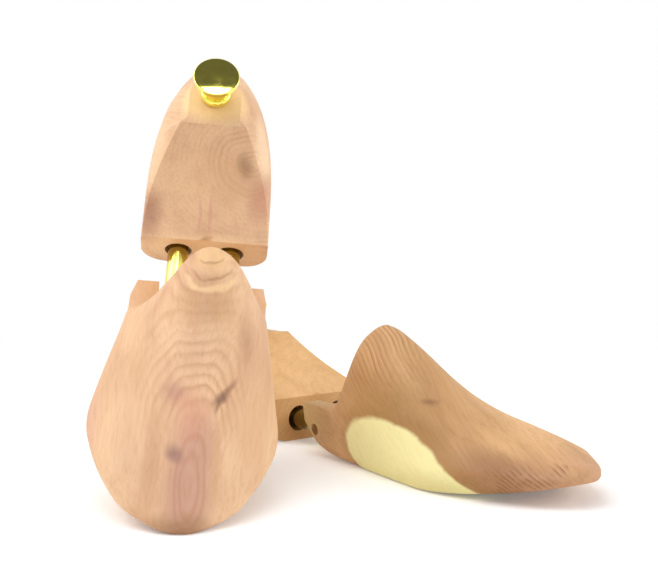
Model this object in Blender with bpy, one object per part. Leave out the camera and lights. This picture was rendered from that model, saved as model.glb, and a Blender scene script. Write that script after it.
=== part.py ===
"""A pair of sprung wooden shoe trees, for a right and a left shoe.

Each tree has a solid forepart, and a heel block that slides on two brass tubes against springs. The tubes
are held in a wooden barrel that turns on a cross pin between the forepart's two shoulders. The right tree
lies on its sole, and the left one stands on its toe with its heel folded up.

Units are metres and +Z is up. In a tree's own frame x runs from the shoulders' rear end (x = 0) towards
the toe, y across, and z up from the sole. `side` is +1 on the right tree, whose inner side is at +y, and
-1 on the left tree, which is its mirror image.
"""

import math

import bmesh
import bpy
from mathutils import Euler, Matrix, Vector

# General fits
CLEARANCE = 0.0003

# Forepart outline in plan
FOREPART_LENGTH = 0.1556
SHOULDER_WIDTH = 0.0593
INNER_BALL = 0.0425
INNER_BALL_AT = 0.0858
OUTER_BALL = 0.0388
OUTER_BALL_AT = 0.0942
TOE_OFFSET = -0.0013
BALL_ROUNDNESS = 0.121
TOE_TAPER = 1.22
TOE_WIDTH = 0.50
TOE_SQUARENESS = 5.83
SOLE_ROUND = 0.0075

# Forepart heights
SHOULDER_HEIGHT = 0.0248
SHOULDER_FLAT_LENGTH = 0.027
SIDE_HEIGHT = 0.0088
SIDE_LOW_AT = 0.0818
TOE_SPRING = 0.0105
TOE_SPRING_FROM = 0.084
NOSE_THICKNESS = 0.0036
HUMP_PEAK = 0.0649
HUMP_PEAK_AT = 0.0326
HUMP_START = 0.0051
HUMP_REAR_ROUNDNESS = 1.32
HUMP_OFFSET = 0.0029
HUMP_FOOT_GROWTH = 1.16
HUMP_INNER_ACROSS = 1.76
HUMP_INNER_DOWN = 2.53
HUMP_OUTER_ACROSS = 2.83
HUMP_OUTER_DOWN = 1.73
TOE_DOWN = 0.66
TOE_WALL = 0.25
INSTEP = ((0.039, 0.0636), (0.052, 0.0565), (0.066, 0.0461), (0.077, 0.0389), (0.090, 0.0330))
TOE_CROWN = ((0.108, 0.0281), (0.132, 0.0212), (0.147, 0.0171))
SHOULDER_UNDERCUT = 0.028
UNDERCUT_REACH = 0.100

# Hinge between the shoulders
PIN_AT = 0.0109
PIN_HEIGHT = 0.0130
PIN_RADIUS = 0.0018
PIN_RECESS = 0.006
PIN_RECESS_RADIUS = 0.0029
BARREL_RADIUS = 0.0112
BARREL_END_WALL = 0.0015
BARREL_EDGE = 0.0008
SLOT_HEADROOM = 0.0015

# Tubes and springs
TUBE_RADIUS = 0.0049
TUBE_WALL = 0.0007
TUBE_SPACING = 0.0252
TUBE_HEIGHT = 0.0111
TUBE_IN_BARREL = 0.0190
TUBE_IN_HEEL = 0.028
BARREL_WIDTH = TUBE_SPACING + 2 * (TUBE_RADIUS + CLEARANCE + BARREL_END_WALL)
SPRING_RADIUS = 0.0045
SPRING_WIRE = 0.0006
SPRING_ROOM = 0.032
SPRING_TURNS = 6
SPRING_POINTS_PER_TURN = 8
SPRING_WIRE_SIDES = 4
TRAVEL = 0.012

# Heel block
HEEL_GAP = 0.0258
HEEL_LENGTH = 0.1062
HEEL_WIDTH = 0.0611
HEEL_PARALLEL = 0.024
HEEL_ROUNDNESS = 2.3
HEEL_EDGE_HEIGHT = 0.0221
HEEL_SIDE_HEIGHT = 0.0200
HEEL_SOLE_ROUND = 0.0115
CREST_AT = HEEL_LENGTH * 0.4590
CREST_HEIGHT = 0.0494
CREST_WIDTH = 0.0314
LANDING_WIDTH = 0.0250
LANDING_END = 0.0135
REAR_SIDE_DROP = 0.027
HEEL_MOUTH_RADIUS = 0.0065
HEEL_MOUTH_DEPTH = 0.005

# Stop pins
STOP_PIN_AT = 0.016
STOP_PIN_RADIUS = 0.0012
STOP_PIN_TOP = 0.0105
STOP_PIN_RECESS = 0.0010

# Knob and its screw
KNOB_AT = HEEL_LENGTH * 0.6175
KNOB_HEIGHT = 0.0163
KNOB_RADIUS = 0.0109
KNOB_RIM = 0.0024
KNOB_DOME = 0.0007
KNOB_WAIST_RADIUS = 0.0066
KNOB_FOOT_RADIUS = 0.0076
SCREW_RADIUS = 0.0023
SCREW_IN_KNOB = 0.009
SCREW_IN_HEEL = 0.020
SCREW_POINT = 0.004

# How the pair is set down
STANDING_SHOULDERS = (0.0476, -0.0690)
STANDING_HEADING = math.radians(-35.7)
STANDING_LEAN = math.radians(26.8)
STANDING_ROLL = math.radians(-5.2)
STANDING_BEND = math.radians(30.2)

# Mesh fineness
LEAST_STEP = 0.0002
FOREPART_STATIONS = 28
HEEL_STATIONS = 16
SOLE_STEPS = 2
ROUND_STEPS = 4
FLANK_STEPS = 8
FACET_STEPS = 2
BEVEL_STEPS = 4
TURNED_SEGMENTS = 24
BORE_SEGMENTS = 20
SMALL_SEGMENTS = 16
SMOOTH_ANGLE = math.radians(35)

COLOURS = {
    "cedar_pink": (0.80, 0.56, 0.40, 1.0),
    "cedar_brown": (0.64, 0.40, 0.22, 1.0),
    "brass": (0.86, 0.68, 0.20, 1.0),
    "steel": (0.60, 0.60, 0.60, 1.0),
}


def clear_scene():
    for old in list(bpy.data.objects):
        bpy.data.objects.remove(old, do_unlink=True)


def material(name, colour, roughness, metallic):
    made = bpy.data.materials.new(name)
    made.use_nodes = True
    shader = made.node_tree.nodes["Principled BSDF"]
    shader.inputs["Base Color"].default_value = COLOURS[colour]
    shader.inputs["Roughness"].default_value = roughness
    shader.inputs["Metallic"].default_value = metallic
    return made


def link(name, mesh, parent, finish=None):
    made = bpy.data.objects.new(name, mesh)
    bpy.context.scene.collection.objects.link(made)
    made.parent = parent
    if finish:
        mesh.materials.append(material(name, *finish))
    return made


def empty(name, parent=None, location=(0, 0, 0), rotation=(0, 0, 0)):
    made = bpy.data.objects.new(name, None)
    bpy.context.scene.collection.objects.link(made)
    made.parent = parent
    made.location = location
    made.rotation_euler = rotation
    return made


def finished_mesh(name, bm, place=None):
    bmesh.ops.remove_doubles(bm, verts=bm.verts, dist=1e-6)
    if place:
        bmesh.ops.transform(bm, matrix=place, verts=bm.verts)
    bmesh.ops.recalc_face_normals(bm, faces=bm.faces)
    mesh = bpy.data.meshes.new(name)
    bm.to_mesh(mesh)
    bm.free()
    mesh.shade_smooth()
    mesh.set_sharp_from_angle(angle=SMOOTH_ANGLE)
    return mesh


def cutter(name, mesh, parent):
    made = link(name, mesh, parent)
    made.hide_render = True
    made.display_type = "WIRE"
    return made


def cut(body, tools):
    for tool in tools:
        boolean = body.modifiers.new(tool.name, "BOOLEAN")
        boolean.operation = "DIFFERENCE"
        boolean.solver = "EXACT"
        boolean.object = tool


def turned(name, profile, segments, axis="X", centre=(0, 0, 0), ring=False):
    """A body turned about an axis. profile lists (along, radius); a ring's profile closes on itself."""
    bm = bmesh.new()
    points = [bm.verts.new((along, 0, radius)) for along, radius in profile]
    edges = [bm.edges.new(pair) for pair in zip(points, points[1:])]
    if ring:
        edges.append(bm.edges.new((points[-1], points[0])))
    bmesh.ops.spin(
        bm,
        geom=points + edges,
        cent=(0, 0, 0),
        axis=(1, 0, 0),
        angle=2 * math.pi,
        steps=segments,
        use_merge=True,
        use_duplicate=False,
    )
    turn = {
        "X": Matrix.Identity(4),
        "Y": Matrix.Rotation(math.pi / 2, 4, "Z"),
        "Z": Matrix.Rotation(-math.pi / 2, 4, "Y"),
    }[axis]
    return finished_mesh(name, bm, Matrix.Translation(centre) @ turn)


def block(name, low, high):
    bm = bmesh.new()
    bmesh.ops.create_cube(bm, size=1)
    low, high = Vector(low), Vector(high)
    size = high - low
    bmesh.ops.scale(bm, vec=size, verts=bm.verts)
    bmesh.ops.translate(bm, vec=(low + high) / 2, verts=bm.verts)
    return finished_mesh(name, bm)


def skinned(name, rings, side):
    """A body through rings of points. A ring starts under the middle, climbs the inner half to the ridge
    and comes down the outer half, so point j faces point -j."""
    bm = bmesh.new()
    rows = [[bm.verts.new((x, y * side, z)) for x, y, z in ring] for ring in rings]
    count = len(rows[0])
    for row, after in zip(rows, rows[1:]):
        for j in range(count):
            bm.faces.new((row[j], row[j - 1], after[j - 1], after[j]))
    close_end(bm, rows[0])
    close_end(bm, rows[-1])
    return finished_mesh(name, bm)


def close_end(bm, row):
    """Strips across a ring's opening. Points on one level share a strip, so that none is flat."""
    ridge = row[len(row) // 2]
    inner, outer = [row[0]], []
    level = row[0].co.z
    for j in range(1, len(row) // 2):
        inner.append(row[j])
        outer.append(row[-j])
        if abs(row[j].co.z - level) > 1e-6 and abs(ridge.co.z - row[j].co.z) > 1e-6:
            bm.faces.new(inner + outer[::-1])
            inner, outer = [row[j]], [row[-j]]
            level = row[j].co.z
    bm.faces.new(inner + [ridge] + outer[::-1])


def smoothstep(value):
    value = min(max(value, 0.0), 1.0)
    return value * value * (3 - 2 * value)


def mix(a, b, share):
    return a + (b - a) * share


def curve_through(points, x):
    """Height at x of the smooth curve through the points, with each slope taken from its neighbours."""
    last = len(points) - 1
    slopes = []
    for k in range(last + 1):
        (x0, z0), (x1, z1) = points[max(k - 1, 0)], points[min(k + 1, last)]
        slopes.append((z1 - z0) / (x1 - x0))
    k = next((k for k in range(last) if x <= points[k + 1][0]), last - 1)
    (x0, z0), (x1, z1) = points[k], points[k + 1]
    step = x1 - x0
    t = (x - x0) / step
    h00, h10 = 2 * t**3 - 3 * t**2 + 1, t**3 - 2 * t**2 + t
    h01, h11 = 3 * t**2 - 2 * t**3, t**3 - t**2
    return h00 * z0 + h10 * step * slopes[k] + h01 * z1 + h11 * step * slopes[k + 1]


def forepart_half_width(x, ball, ball_at, towards):
    """Distance from the middle line to the side at x, on the inner (+1) or outer (-1) half."""
    shoulder = SHOULDER_WIDTH / 2
    if x <= ball_at:
        share = x / ball_at
        return mix(shoulder, ball, mix(share, math.sin(math.pi / 2 * share), BALL_ROUNDNESS))
    middle = TOE_OFFSET * towards
    share = (x - ball_at) / (FOREPART_LENGTH - ball_at)
    tapered = mix(ball - middle, (ball - middle) * TOE_WIDTH, share**TOE_TAPER)
    return middle + tapered * math.sqrt(max(1 - share**TOE_SQUARENESS, 0.0))


def sole_height(x):
    share = max(x - TOE_SPRING_FROM, 0.0) / (FOREPART_LENGTH - TOE_SPRING_FROM)
    return TOE_SPRING * share**2


def crown_height(x):
    """Height of the ridge: a quarter ellipse up the hump's rear, then down the instep to the nose."""
    nose = sole_height(FOREPART_LENGTH) + NOSE_THICKNESS
    if x <= HUMP_PEAK_AT:
        share = min((HUMP_PEAK_AT - x) / (HUMP_PEAK_AT - HUMP_START), 1.0)
        rise = (1 - share**HUMP_REAR_ROUNDNESS) ** (1 / HUMP_REAR_ROUNDNESS)
        return SHOULDER_HEIGHT + max((HUMP_PEAK - SHOULDER_HEIGHT) * rise, LEAST_STEP)
    line = ((HUMP_PEAK_AT, HUMP_PEAK),) + INSTEP + TOE_CROWN
    blunt_from, blunt_height = TOE_CROWN[-1]
    if x <= blunt_from:
        return curve_through(line, x)
    share = (x - blunt_from) / (FOREPART_LENGTH - blunt_from)
    return nose + (blunt_height - nose) * math.sqrt(max(1 - share**2, 0.0))


def forepart_half_section(x, towards):
    """Points (y, z) from under the middle up to the ridge, on the inner (+1) or outer (-1) half."""
    if towards > 0:
        width = forepart_half_width(x, INNER_BALL, INNER_BALL_AT, 1)
        hump_shape = (HUMP_INNER_ACROSS, HUMP_INNER_DOWN)
    else:
        width = forepart_half_width(x, OUTER_BALL, OUTER_BALL_AT, -1)
        hump_shape = (HUMP_OUTER_ACROSS, HUMP_OUTER_DOWN)
    ball_at = max(INNER_BALL_AT, OUTER_BALL_AT)
    to_toe = smoothstep((x - ball_at) / (FOREPART_LENGTH - ball_at))
    middle = TOE_OFFSET * towards * to_toe
    ridge = mix(-HUMP_OFFSET * towards, TOE_OFFSET * towards, smoothstep((x - HUMP_PEAK_AT) / ball_at))
    sole, crown = sole_height(x), crown_height(x)
    side_top = mix(SHOULDER_HEIGHT, SIDE_HEIGHT, smoothstep((x - SHOULDER_FLAT_LENGTH) / SIDE_LOW_AT))
    side_top = min(sole + side_top, mix(sole, crown, mix(1.0, TOE_WALL, to_toe)))
    round_up = min(SOLE_ROUND, (side_top - sole) * 0.8)
    round_in = min(SOLE_ROUND, (width - middle) * 0.4)
    points = [(mix(middle, width - round_in, k / SOLE_STEPS), sole) for k in range(SOLE_STEPS)]
    for k in range(ROUND_STEPS + 1):
        angle = math.pi / 2 * k / ROUND_STEPS
        points.append((width - round_in * (1 - math.sin(angle)), sole + round_up * (1 - math.cos(angle))))
    points.append((width, mix(sole + round_up, side_top, 0.5)))
    points.append((width, side_top))
    foot, foot_height = flank_foot(x, width, ridge, side_top)
    toe_share = smoothstep((x - HUMP_PEAK_AT) / ball_at)
    across, down = mix(hump_shape[0], 2.0, toe_share), mix(hump_shape[1], TOE_DOWN, toe_share)
    points.append((foot, foot_height))
    for k in range(1, FLANK_STEPS + 1):
        u = math.cos(math.pi / 2 * k / FLANK_STEPS)
        u = 0.0 if k == FLANK_STEPS else u
        points.append((mix(ridge, foot, u), mix(foot_height, crown, (1 - u**across) ** down)))
    return [(y * towards, z) for y, z in points]


def flank_foot(x, width, ridge, side_top):
    """Where the hump's flank leaves the flat shoulder or, ahead of the flat, the side's upper edge."""
    if x >= SHOULDER_FLAT_LENGTH:
        return width - 2 * LEAST_STEP, side_top + LEAST_STEP
    share = max((x - HUMP_START) / (SHOULDER_FLAT_LENGTH - HUMP_START), 0.0)
    foot = mix(ridge + 5 * LEAST_STEP, width, share**HUMP_FOOT_GROWTH)
    return min(foot, width - 2 * LEAST_STEP), side_top


def forepart_mesh(name, side):
    rings = []
    for k in range(FOREPART_STATIONS):
        share = k / (FOREPART_STATIONS - 1)
        x = FOREPART_LENGTH * (1 - math.cos(math.pi * share)) / 2
        x = min(max(x, 0.0003), FOREPART_LENGTH - 0.0003)
        inner = forepart_half_section(x, 1)
        outer = forepart_half_section(x, -1)
        ring = []
        for y, z in inner + outer[-2:0:-1]:
            low = max(1 - z / SHOULDER_HEIGHT, 0.0)
            fade = max(1 - x / UNDERCUT_REACH, 0.0) ** 2
            ring.append((x + SHOULDER_UNDERCUT * low**2.6 * fade, y, z))
        rings.append(ring)
    return skinned(name, rings, side)


def heel_half_width(back):
    share = max(back - HEEL_PARALLEL, 0.0) / (HEEL_LENGTH - HEEL_PARALLEL)
    return HEEL_WIDTH / 2 * math.sqrt(max(1 - share**HEEL_ROUNDNESS, 0.0))


def heel_top(back):
    """Half-width and height of the heel's top face this far behind its front."""
    landing = LANDING_WIDTH / 2
    landing_stop = KNOB_AT + LANDING_END
    if back <= CREST_AT:
        share = back / CREST_AT
        height = mix(HEEL_EDGE_HEIGHT, CREST_HEIGHT, 0.55 * share + 0.45 * share**3)
        narrow = mix(heel_half_width(0) - 0.0006, CREST_WIDTH / 2, share**2.2)
        return narrow, height
    if back <= KNOB_AT:
        share = smoothstep((back - CREST_AT) / 0.004)
        return mix(CREST_WIDTH / 2, landing, share), CREST_HEIGHT
    if back <= landing_stop:
        share = (back - KNOB_AT) / LANDING_END
        return max(landing * math.sqrt(max(1 - share**2, 0.0)), 0.0004), CREST_HEIGHT
    share = (back - landing_stop) / (HEEL_LENGTH - landing_stop)
    height = mix(CREST_HEIGHT, CREST_HEIGHT - REAR_SIDE_DROP, share**1.3)
    return 0.0004, height


def heel_half_section(back, towards):
    width = heel_half_width(back)
    half_top, top = heel_top(back)
    half_top = min(half_top, width - 0.0003)
    shrink = width / (HEEL_WIDTH / 2)
    sole_round = HEEL_SOLE_ROUND * mix(0.35, 1.0, shrink)
    round_in = min(sole_round, width * 0.7)
    points = [(mix(0, width - round_in, k / SOLE_STEPS), 0.0) for k in range(SOLE_STEPS)]
    for k in range(ROUND_STEPS + 1):
        angle = math.pi / 2 * k / ROUND_STEPS
        points.append((width - round_in * (1 - math.sin(angle)), sole_round * (1 - math.cos(angle))))
    for k in range(BEVEL_STEPS + 1):
        angle = math.pi / 2 * k / BEVEL_STEPS
        straight, bowed = k / BEVEL_STEPS, math.sin(angle)
        y = mix(width, half_top, (straight + 1 - math.cos(angle)) / 2)
        points.append((y, mix(HEEL_SIDE_HEIGHT, top, (straight + bowed) / 2)))
    for k in range(1, FACET_STEPS + 1):
        points.append((mix(half_top, 0, k / FACET_STEPS), top))
    return [(y * towards, z) for y, z in points]


def heel_mesh(name, side):
    """The heel block, with x = 0 at its front face and its length towards -x."""
    landing_stop = KNOB_AT + LANDING_END
    marks = [0.0, CREST_AT, CREST_AT + 0.004, KNOB_AT, landing_stop, HEEL_LENGTH - 0.0005]
    backs = set(marks)
    for k in range(HEEL_STATIONS):
        back = (HEEL_LENGTH - 0.0005) * math.sin(math.pi / 2 * k / (HEEL_STATIONS - 1))
        if min(abs(back - mark) for mark in marks) > 0.0015:
            backs.add(back)
    rings = []
    for back in sorted(backs):
        inner, outer = heel_half_section(back, 1), heel_half_section(back, -1)
        rings.append([(-back, y, z) for y, z in inner + outer[-2:0:-1]])
    return skinned(name, rings, side)


def spring_mesh(name, start, end):
    """A coil about the x axis from start to end, with its wire's ends cut square."""
    coil = SPRING_RADIUS - SPRING_WIRE
    steps = SPRING_TURNS * SPRING_POINTS_PER_TURN
    low, high = start + SPRING_WIRE * 1.2, end - SPRING_WIRE * 1.2
    bm = bmesh.new()
    rows = []
    for k in range(steps + 1):
        turn = 2 * math.pi * k / SPRING_POINTS_PER_TURN
        outward = Vector((0, math.cos(turn), math.sin(turn)))
        centre = Vector((mix(low, high, k / steps), 0, 0)) + coil * outward
        row = []
        for j in range(SPRING_WIRE_SIDES):
            angle = 2 * math.pi * j / SPRING_WIRE_SIDES
            offset = outward * math.cos(angle) + Vector((1, 0, 0)) * math.sin(angle)
            row.append(bm.verts.new(centre + offset * SPRING_WIRE))
        rows.append(row)
    for row, after in zip(rows, rows[1:]):
        for j in range(SPRING_WIRE_SIDES):
            bm.faces.new((row[j], row[j - 1], after[j - 1], after[j]))
    bm.faces.new(rows[0])
    bm.faces.new(rows[-1])
    return finished_mesh(name, bm)


def add_forepart(tree, prefix, side, finish):
    forepart = link(f"{prefix}_forepart", forepart_mesh(f"{prefix}_forepart", side), tree, finish)
    half_slot = BARREL_WIDTH / 2 + CLEARANCE
    slot_front = PIN_AT + BARREL_RADIUS + CLEARANCE
    slot_top = PIN_HEIGHT + BARREL_RADIUS + SLOT_HEADROOM
    reach = SHOULDER_WIDTH
    slot = block(f"{prefix}_barrel_slot", (-reach, -half_slot, -reach), (slot_front, half_slot, slot_top))
    recess_from = SHOULDER_WIDTH / 2 - PIN_RECESS
    bore = PIN_RADIUS + CLEARANCE
    profile = (
        (-reach, 0),
        (-reach, PIN_RECESS_RADIUS),
        (-recess_from, PIN_RECESS_RADIUS),
        (-recess_from, bore),
        (recess_from, bore),
        (recess_from, PIN_RECESS_RADIUS),
        (reach, PIN_RECESS_RADIUS),
        (reach, 0),
    )
    centre = (PIN_AT, 0, PIN_HEIGHT)
    pin_hole = turned(f"{prefix}_pin_hole", profile, SMALL_SEGMENTS, "Y", centre)
    cut(
        forepart,
        [cutter(slot.name, slot, tree), cutter(pin_hole.name, pin_hole, tree)],
    )
    return forepart


def add_hinge(hinge, prefix, finish_wood, finish_metal):
    """The barrel and its pin, with the hinge's axis along y through the empty."""
    half, edge = BARREL_WIDTH / 2, BARREL_EDGE
    profile = (
        (-half, 0),
        (-half, BARREL_RADIUS - edge),
        (-half + edge, BARREL_RADIUS),
        (half - edge, BARREL_RADIUS),
        (half, BARREL_RADIUS - edge),
        (half, 0),
    )
    barrel_name = f"{prefix}_hinge_barrel"
    barrel = link(barrel_name, turned(barrel_name, profile, TURNED_SEGMENTS, "Y"), hinge, finish_wood)
    reach = 2 * BARREL_WIDTH
    bore = PIN_RADIUS + CLEARANCE
    pin_bore = turned(
        f"{prefix}_barrel_pin_bore", ((-reach, 0), (-reach, bore), (reach, bore), (reach, 0)), SMALL_SEGMENTS, "Y"
    )
    tools = [cutter(pin_bore.name, pin_bore, hinge)]
    socket_front = TUBE_IN_BARREL - PIN_AT + CLEARANCE
    socket = TUBE_RADIUS + CLEARANCE
    for place, y in tube_places():
        hole_name = f"{prefix}_barrel_socket_{place}"
        centre = (0, y, TUBE_HEIGHT - PIN_HEIGHT)
        profile = ((-reach, 0), (-reach, socket), (socket_front, socket), (socket_front, 0))
        tools.append(cutter(hole_name, turned(hole_name, profile, SMALL_SEGMENTS, "X", centre), hinge))
    cut(barrel, tools)
    half_pin = SHOULDER_WIDTH / 2 - PIN_RECESS - CLEARANCE
    pin_name = f"{prefix}_hinge_pin"
    profile = ((-half_pin, 0), (-half_pin, PIN_RADIUS), (half_pin, PIN_RADIUS), (half_pin, 0))
    link(pin_name, turned(pin_name, profile, SMALL_SEGMENTS, "Y"), hinge, finish_metal)


def tube_places():
    return (("inner", TUBE_SPACING / 2), ("outer", -TUBE_SPACING / 2))


def add_tube(hinge, prefix, place, y, finish):
    """A tube in the hinge's frame, crossed by the pin and slotted underneath for the stop pin."""
    name = f"{prefix}_tube_{place}"
    front = TUBE_IN_BARREL - PIN_AT
    rear = -(PIN_AT + HEEL_GAP + TUBE_IN_HEEL)
    inner = TUBE_RADIUS - TUBE_WALL
    profile = ((rear, inner), (rear, TUBE_RADIUS), (front, TUBE_RADIUS), (front, inner))
    height = TUBE_HEIGHT - PIN_HEIGHT
    tube = link(name, turned(name, profile, BORE_SEGMENTS, "X", (0, y, height), ring=True), hinge, finish)
    bore = PIN_RADIUS + CLEARANCE
    reach = 2 * TUBE_RADIUS
    hole = turned(f"{name}_pin_hole", ((-reach, 0), (-reach, bore), (reach, bore), (reach, 0)), SMALL_SEGMENTS, "Y", (0, y, 0))
    slot_rear = -(PIN_AT + HEEL_GAP + STOP_PIN_AT + STOP_PIN_RADIUS + CLEARANCE)
    slot_front = slot_rear + TRAVEL + 2 * (STOP_PIN_RADIUS + CLEARANCE)
    half_slot = STOP_PIN_RADIUS + CLEARANCE
    slot = block(
        f"{name}_stop_slot",
        (slot_rear, y - half_slot, height - reach),
        (slot_front, y + half_slot, height),
    )
    cut(tube, [cutter(hole.name, hole, hinge), cutter(slot.name, slot, hinge)])


def add_heel(slide, prefix, side, finish_wood, finish_brass, finish_steel):
    """The heel block and what is fixed in it. The slide empty lies in its front face at sole height."""
    heel = link(f"{prefix}_heel_block", heel_mesh(f"{prefix}_heel_block", side), slide, finish_wood)
    reach = HEEL_LENGTH
    bore = TUBE_RADIUS + CLEARANCE
    bore_end = TUBE_IN_HEEL + SPRING_ROOM
    tools = []
    for place, y in tube_places():
        centre = (0, y * side, TUBE_HEIGHT)
        name = f"{prefix}_heel_bore_{place}"
        profile = (
            (-bore_end, 0),
            (-bore_end, bore),
            (-HEEL_MOUTH_DEPTH, bore),
            (-HEEL_MOUTH_DEPTH, HEEL_MOUTH_RADIUS),
            (reach, HEEL_MOUTH_RADIUS),
            (reach, 0),
        )
        tools.append(cutter(name, turned(name, profile, BORE_SEGMENTS, "X", centre), slide))
        spring_name = f"{prefix}_spring_{place}"
        spring = spring_mesh(spring_name, -bore_end + CLEARANCE, -TUBE_IN_HEEL - CLEARANCE)
        made = link(spring_name, spring, slide, finish_steel)
        made.location = centre
        hole_name = f"{prefix}_stop_hole_{place}"
        hole_radius = STOP_PIN_RADIUS + CLEARANCE
        hole_profile = ((-reach, 0), (-reach, hole_radius), (TUBE_HEIGHT, hole_radius), (TUBE_HEIGHT, 0))
        foot = (-STOP_PIN_AT, y * side, 0)
        tools.append(cutter(hole_name, turned(hole_name, hole_profile, SMALL_SEGMENTS, "Z", foot), slide))
        pin_name = f"{prefix}_stop_pin_{place}"
        pin_profile = (
            (STOP_PIN_RECESS, 0),
            (STOP_PIN_RECESS, STOP_PIN_RADIUS),
            (STOP_PIN_TOP, STOP_PIN_RADIUS),
            (STOP_PIN_TOP, 0),
        )
        link(pin_name, turned(pin_name, pin_profile, SMALL_SEGMENTS, "Z", foot), slide, finish_steel)
    seat = (-KNOB_AT, 0, CREST_HEIGHT)
    hole = SCREW_RADIUS + CLEARANCE
    depth = SCREW_IN_HEEL + CLEARANCE
    name = f"{prefix}_screw_hole"
    profile = ((-depth, 0), (-depth, hole), (reach, hole), (reach, 0))
    tools.append(cutter(name, turned(name, profile, SMALL_SEGMENTS, "Z", seat), slide))
    cut(heel, tools)
    add_knob(slide, prefix, seat, finish_brass, finish_steel)


def add_knob(slide, prefix, seat, finish_brass, finish_steel):
    """A mushroom knob standing on the heel's landing, on a screw that goes down into the wood."""
    name = f"{prefix}_knob"
    screw_hole = SCREW_RADIUS + CLEARANCE
    rim_low = KNOB_HEIGHT - KNOB_DOME - KNOB_RIM
    profile = [(CLEARANCE, screw_hole), (CLEARANCE, KNOB_FOOT_RADIUS - 0.0004), (CLEARANCE + 0.0005, KNOB_FOOT_RADIUS)]
    flare_steps = 5
    waist_at = rim_low * 0.45
    profile.append((waist_at * 0.5, mix(KNOB_FOOT_RADIUS, KNOB_WAIST_RADIUS, 0.8)))
    for k in range(flare_steps + 1):
        share = k / flare_steps
        radius = mix(KNOB_WAIST_RADIUS, KNOB_RADIUS - 0.0004, 1 - math.sqrt(1 - share**2))
        profile.append((mix(waist_at, rim_low, share), radius))
    profile.append((rim_low + KNOB_RIM * 0.3, KNOB_RADIUS))
    profile.append((rim_low + KNOB_RIM * 0.75, KNOB_RADIUS - 0.0001))
    profile.append((rim_low + KNOB_RIM, KNOB_RADIUS - 0.0007))
    profile.append((KNOB_HEIGHT - KNOB_DOME * 0.25, KNOB_RADIUS * 0.5))
    profile.append((KNOB_HEIGHT, 0))
    bore_top = CLEARANCE + SCREW_IN_KNOB
    profile = [(bore_top, 0), (bore_top, screw_hole)] + profile
    link(name, turned(name, profile, TURNED_SEGMENTS, "Z", seat), slide, finish_brass)
    name = f"{prefix}_knob_screw"
    profile = (
        (-SCREW_IN_HEEL, 0),
        (-SCREW_IN_HEEL + SCREW_POINT, SCREW_RADIUS),
        (SCREW_IN_KNOB, SCREW_RADIUS),
        (SCREW_IN_KNOB, 0),
    )
    link(name, turned(name, profile, SMALL_SEGMENTS, "Z", seat), slide, finish_steel)


def add_tree(prefix, place, side, bend, wood):
    finish_wood = (wood, 0.55, 0.0)
    finish_brass = ("brass", 0.12, 1.0)
    finish_steel = ("steel", 0.35, 1.0)
    forepart = add_forepart(place, prefix, side, finish_wood)
    hinge = empty(f"{prefix}_hinge_axis", place, (PIN_AT, 0, PIN_HEIGHT), (0, bend, 0))
    add_hinge(hinge, prefix, finish_wood, finish_steel)
    for tube, y in tube_places():
        add_tube(hinge, prefix, tube, y * side, finish_brass)
    slide = empty(f"{prefix}_heel_slide", hinge, (-(PIN_AT + HEEL_GAP), 0, -PIN_HEIGHT))
    add_heel(slide, prefix, side, finish_wood, finish_brass, finish_steel)
    return forepart


def set_on_toe(place, forepart):
    """Leans the standing tree and raises it until its lowest point, under the toe, is on the floor."""
    turn = Euler((STANDING_ROLL, STANDING_LEAN, STANDING_HEADING)).to_matrix()
    lowest = min((turn @ vertex.co).z for vertex in forepart.data.vertices)
    place.location = (*STANDING_SHOULDERS, -lowest)
    place.rotation_euler = turn.to_euler()


def main():
    clear_scene()
    lying = empty("lying_place", location=(HEEL_GAP + HEEL_LENGTH / 2, 0, 0))
    add_tree("right", lying, 1, 0.0, "cedar_brown")
    standing = empty("standing_place")
    forepart = add_tree("left", standing, -1, STANDING_BEND, "cedar_pink")
    set_on_toe(standing, forepart)
    bpy.context.view_layer.update()


main()
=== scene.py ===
"""Dresses a pair of sprung cedar shoe trees: finer wood and brass pieces, their finishes, and the stage.

Lengths are in metres. A tree's frame has x from the shoulders' rear end towards the toe, y across, and z up
from the sole. The right tree lies on its sole. The left tree, its mirror image, stands on its toe with its
heel folded up. Each piece is shaped in the frame of its forepart, hinge or heel, then set in its place.
"""

import math

import bmesh
import bpy
from bpy.props import FloatProperty, FloatVectorProperty, PointerProperty
from mathutils import Euler, Matrix, Vector


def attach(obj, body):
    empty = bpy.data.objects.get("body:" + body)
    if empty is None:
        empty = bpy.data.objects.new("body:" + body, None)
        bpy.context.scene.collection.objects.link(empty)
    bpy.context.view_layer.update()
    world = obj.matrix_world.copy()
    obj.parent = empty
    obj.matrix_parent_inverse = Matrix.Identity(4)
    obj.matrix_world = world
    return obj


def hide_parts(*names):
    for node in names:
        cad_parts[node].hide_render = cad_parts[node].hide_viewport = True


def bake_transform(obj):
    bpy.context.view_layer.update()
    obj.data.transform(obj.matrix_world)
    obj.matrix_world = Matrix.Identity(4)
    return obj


bl_info = {
    "name": "Shoe Tree Pair",
    "version": (1, 0, 0),
    "blender": (4, 5, 0),
    "location": "View3D > Sidebar > Shoe Trees",
    "description": "Builds a pair of wooden shoe trees with brass tubes and knobs",
    "category": "Add Mesh",
}

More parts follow.
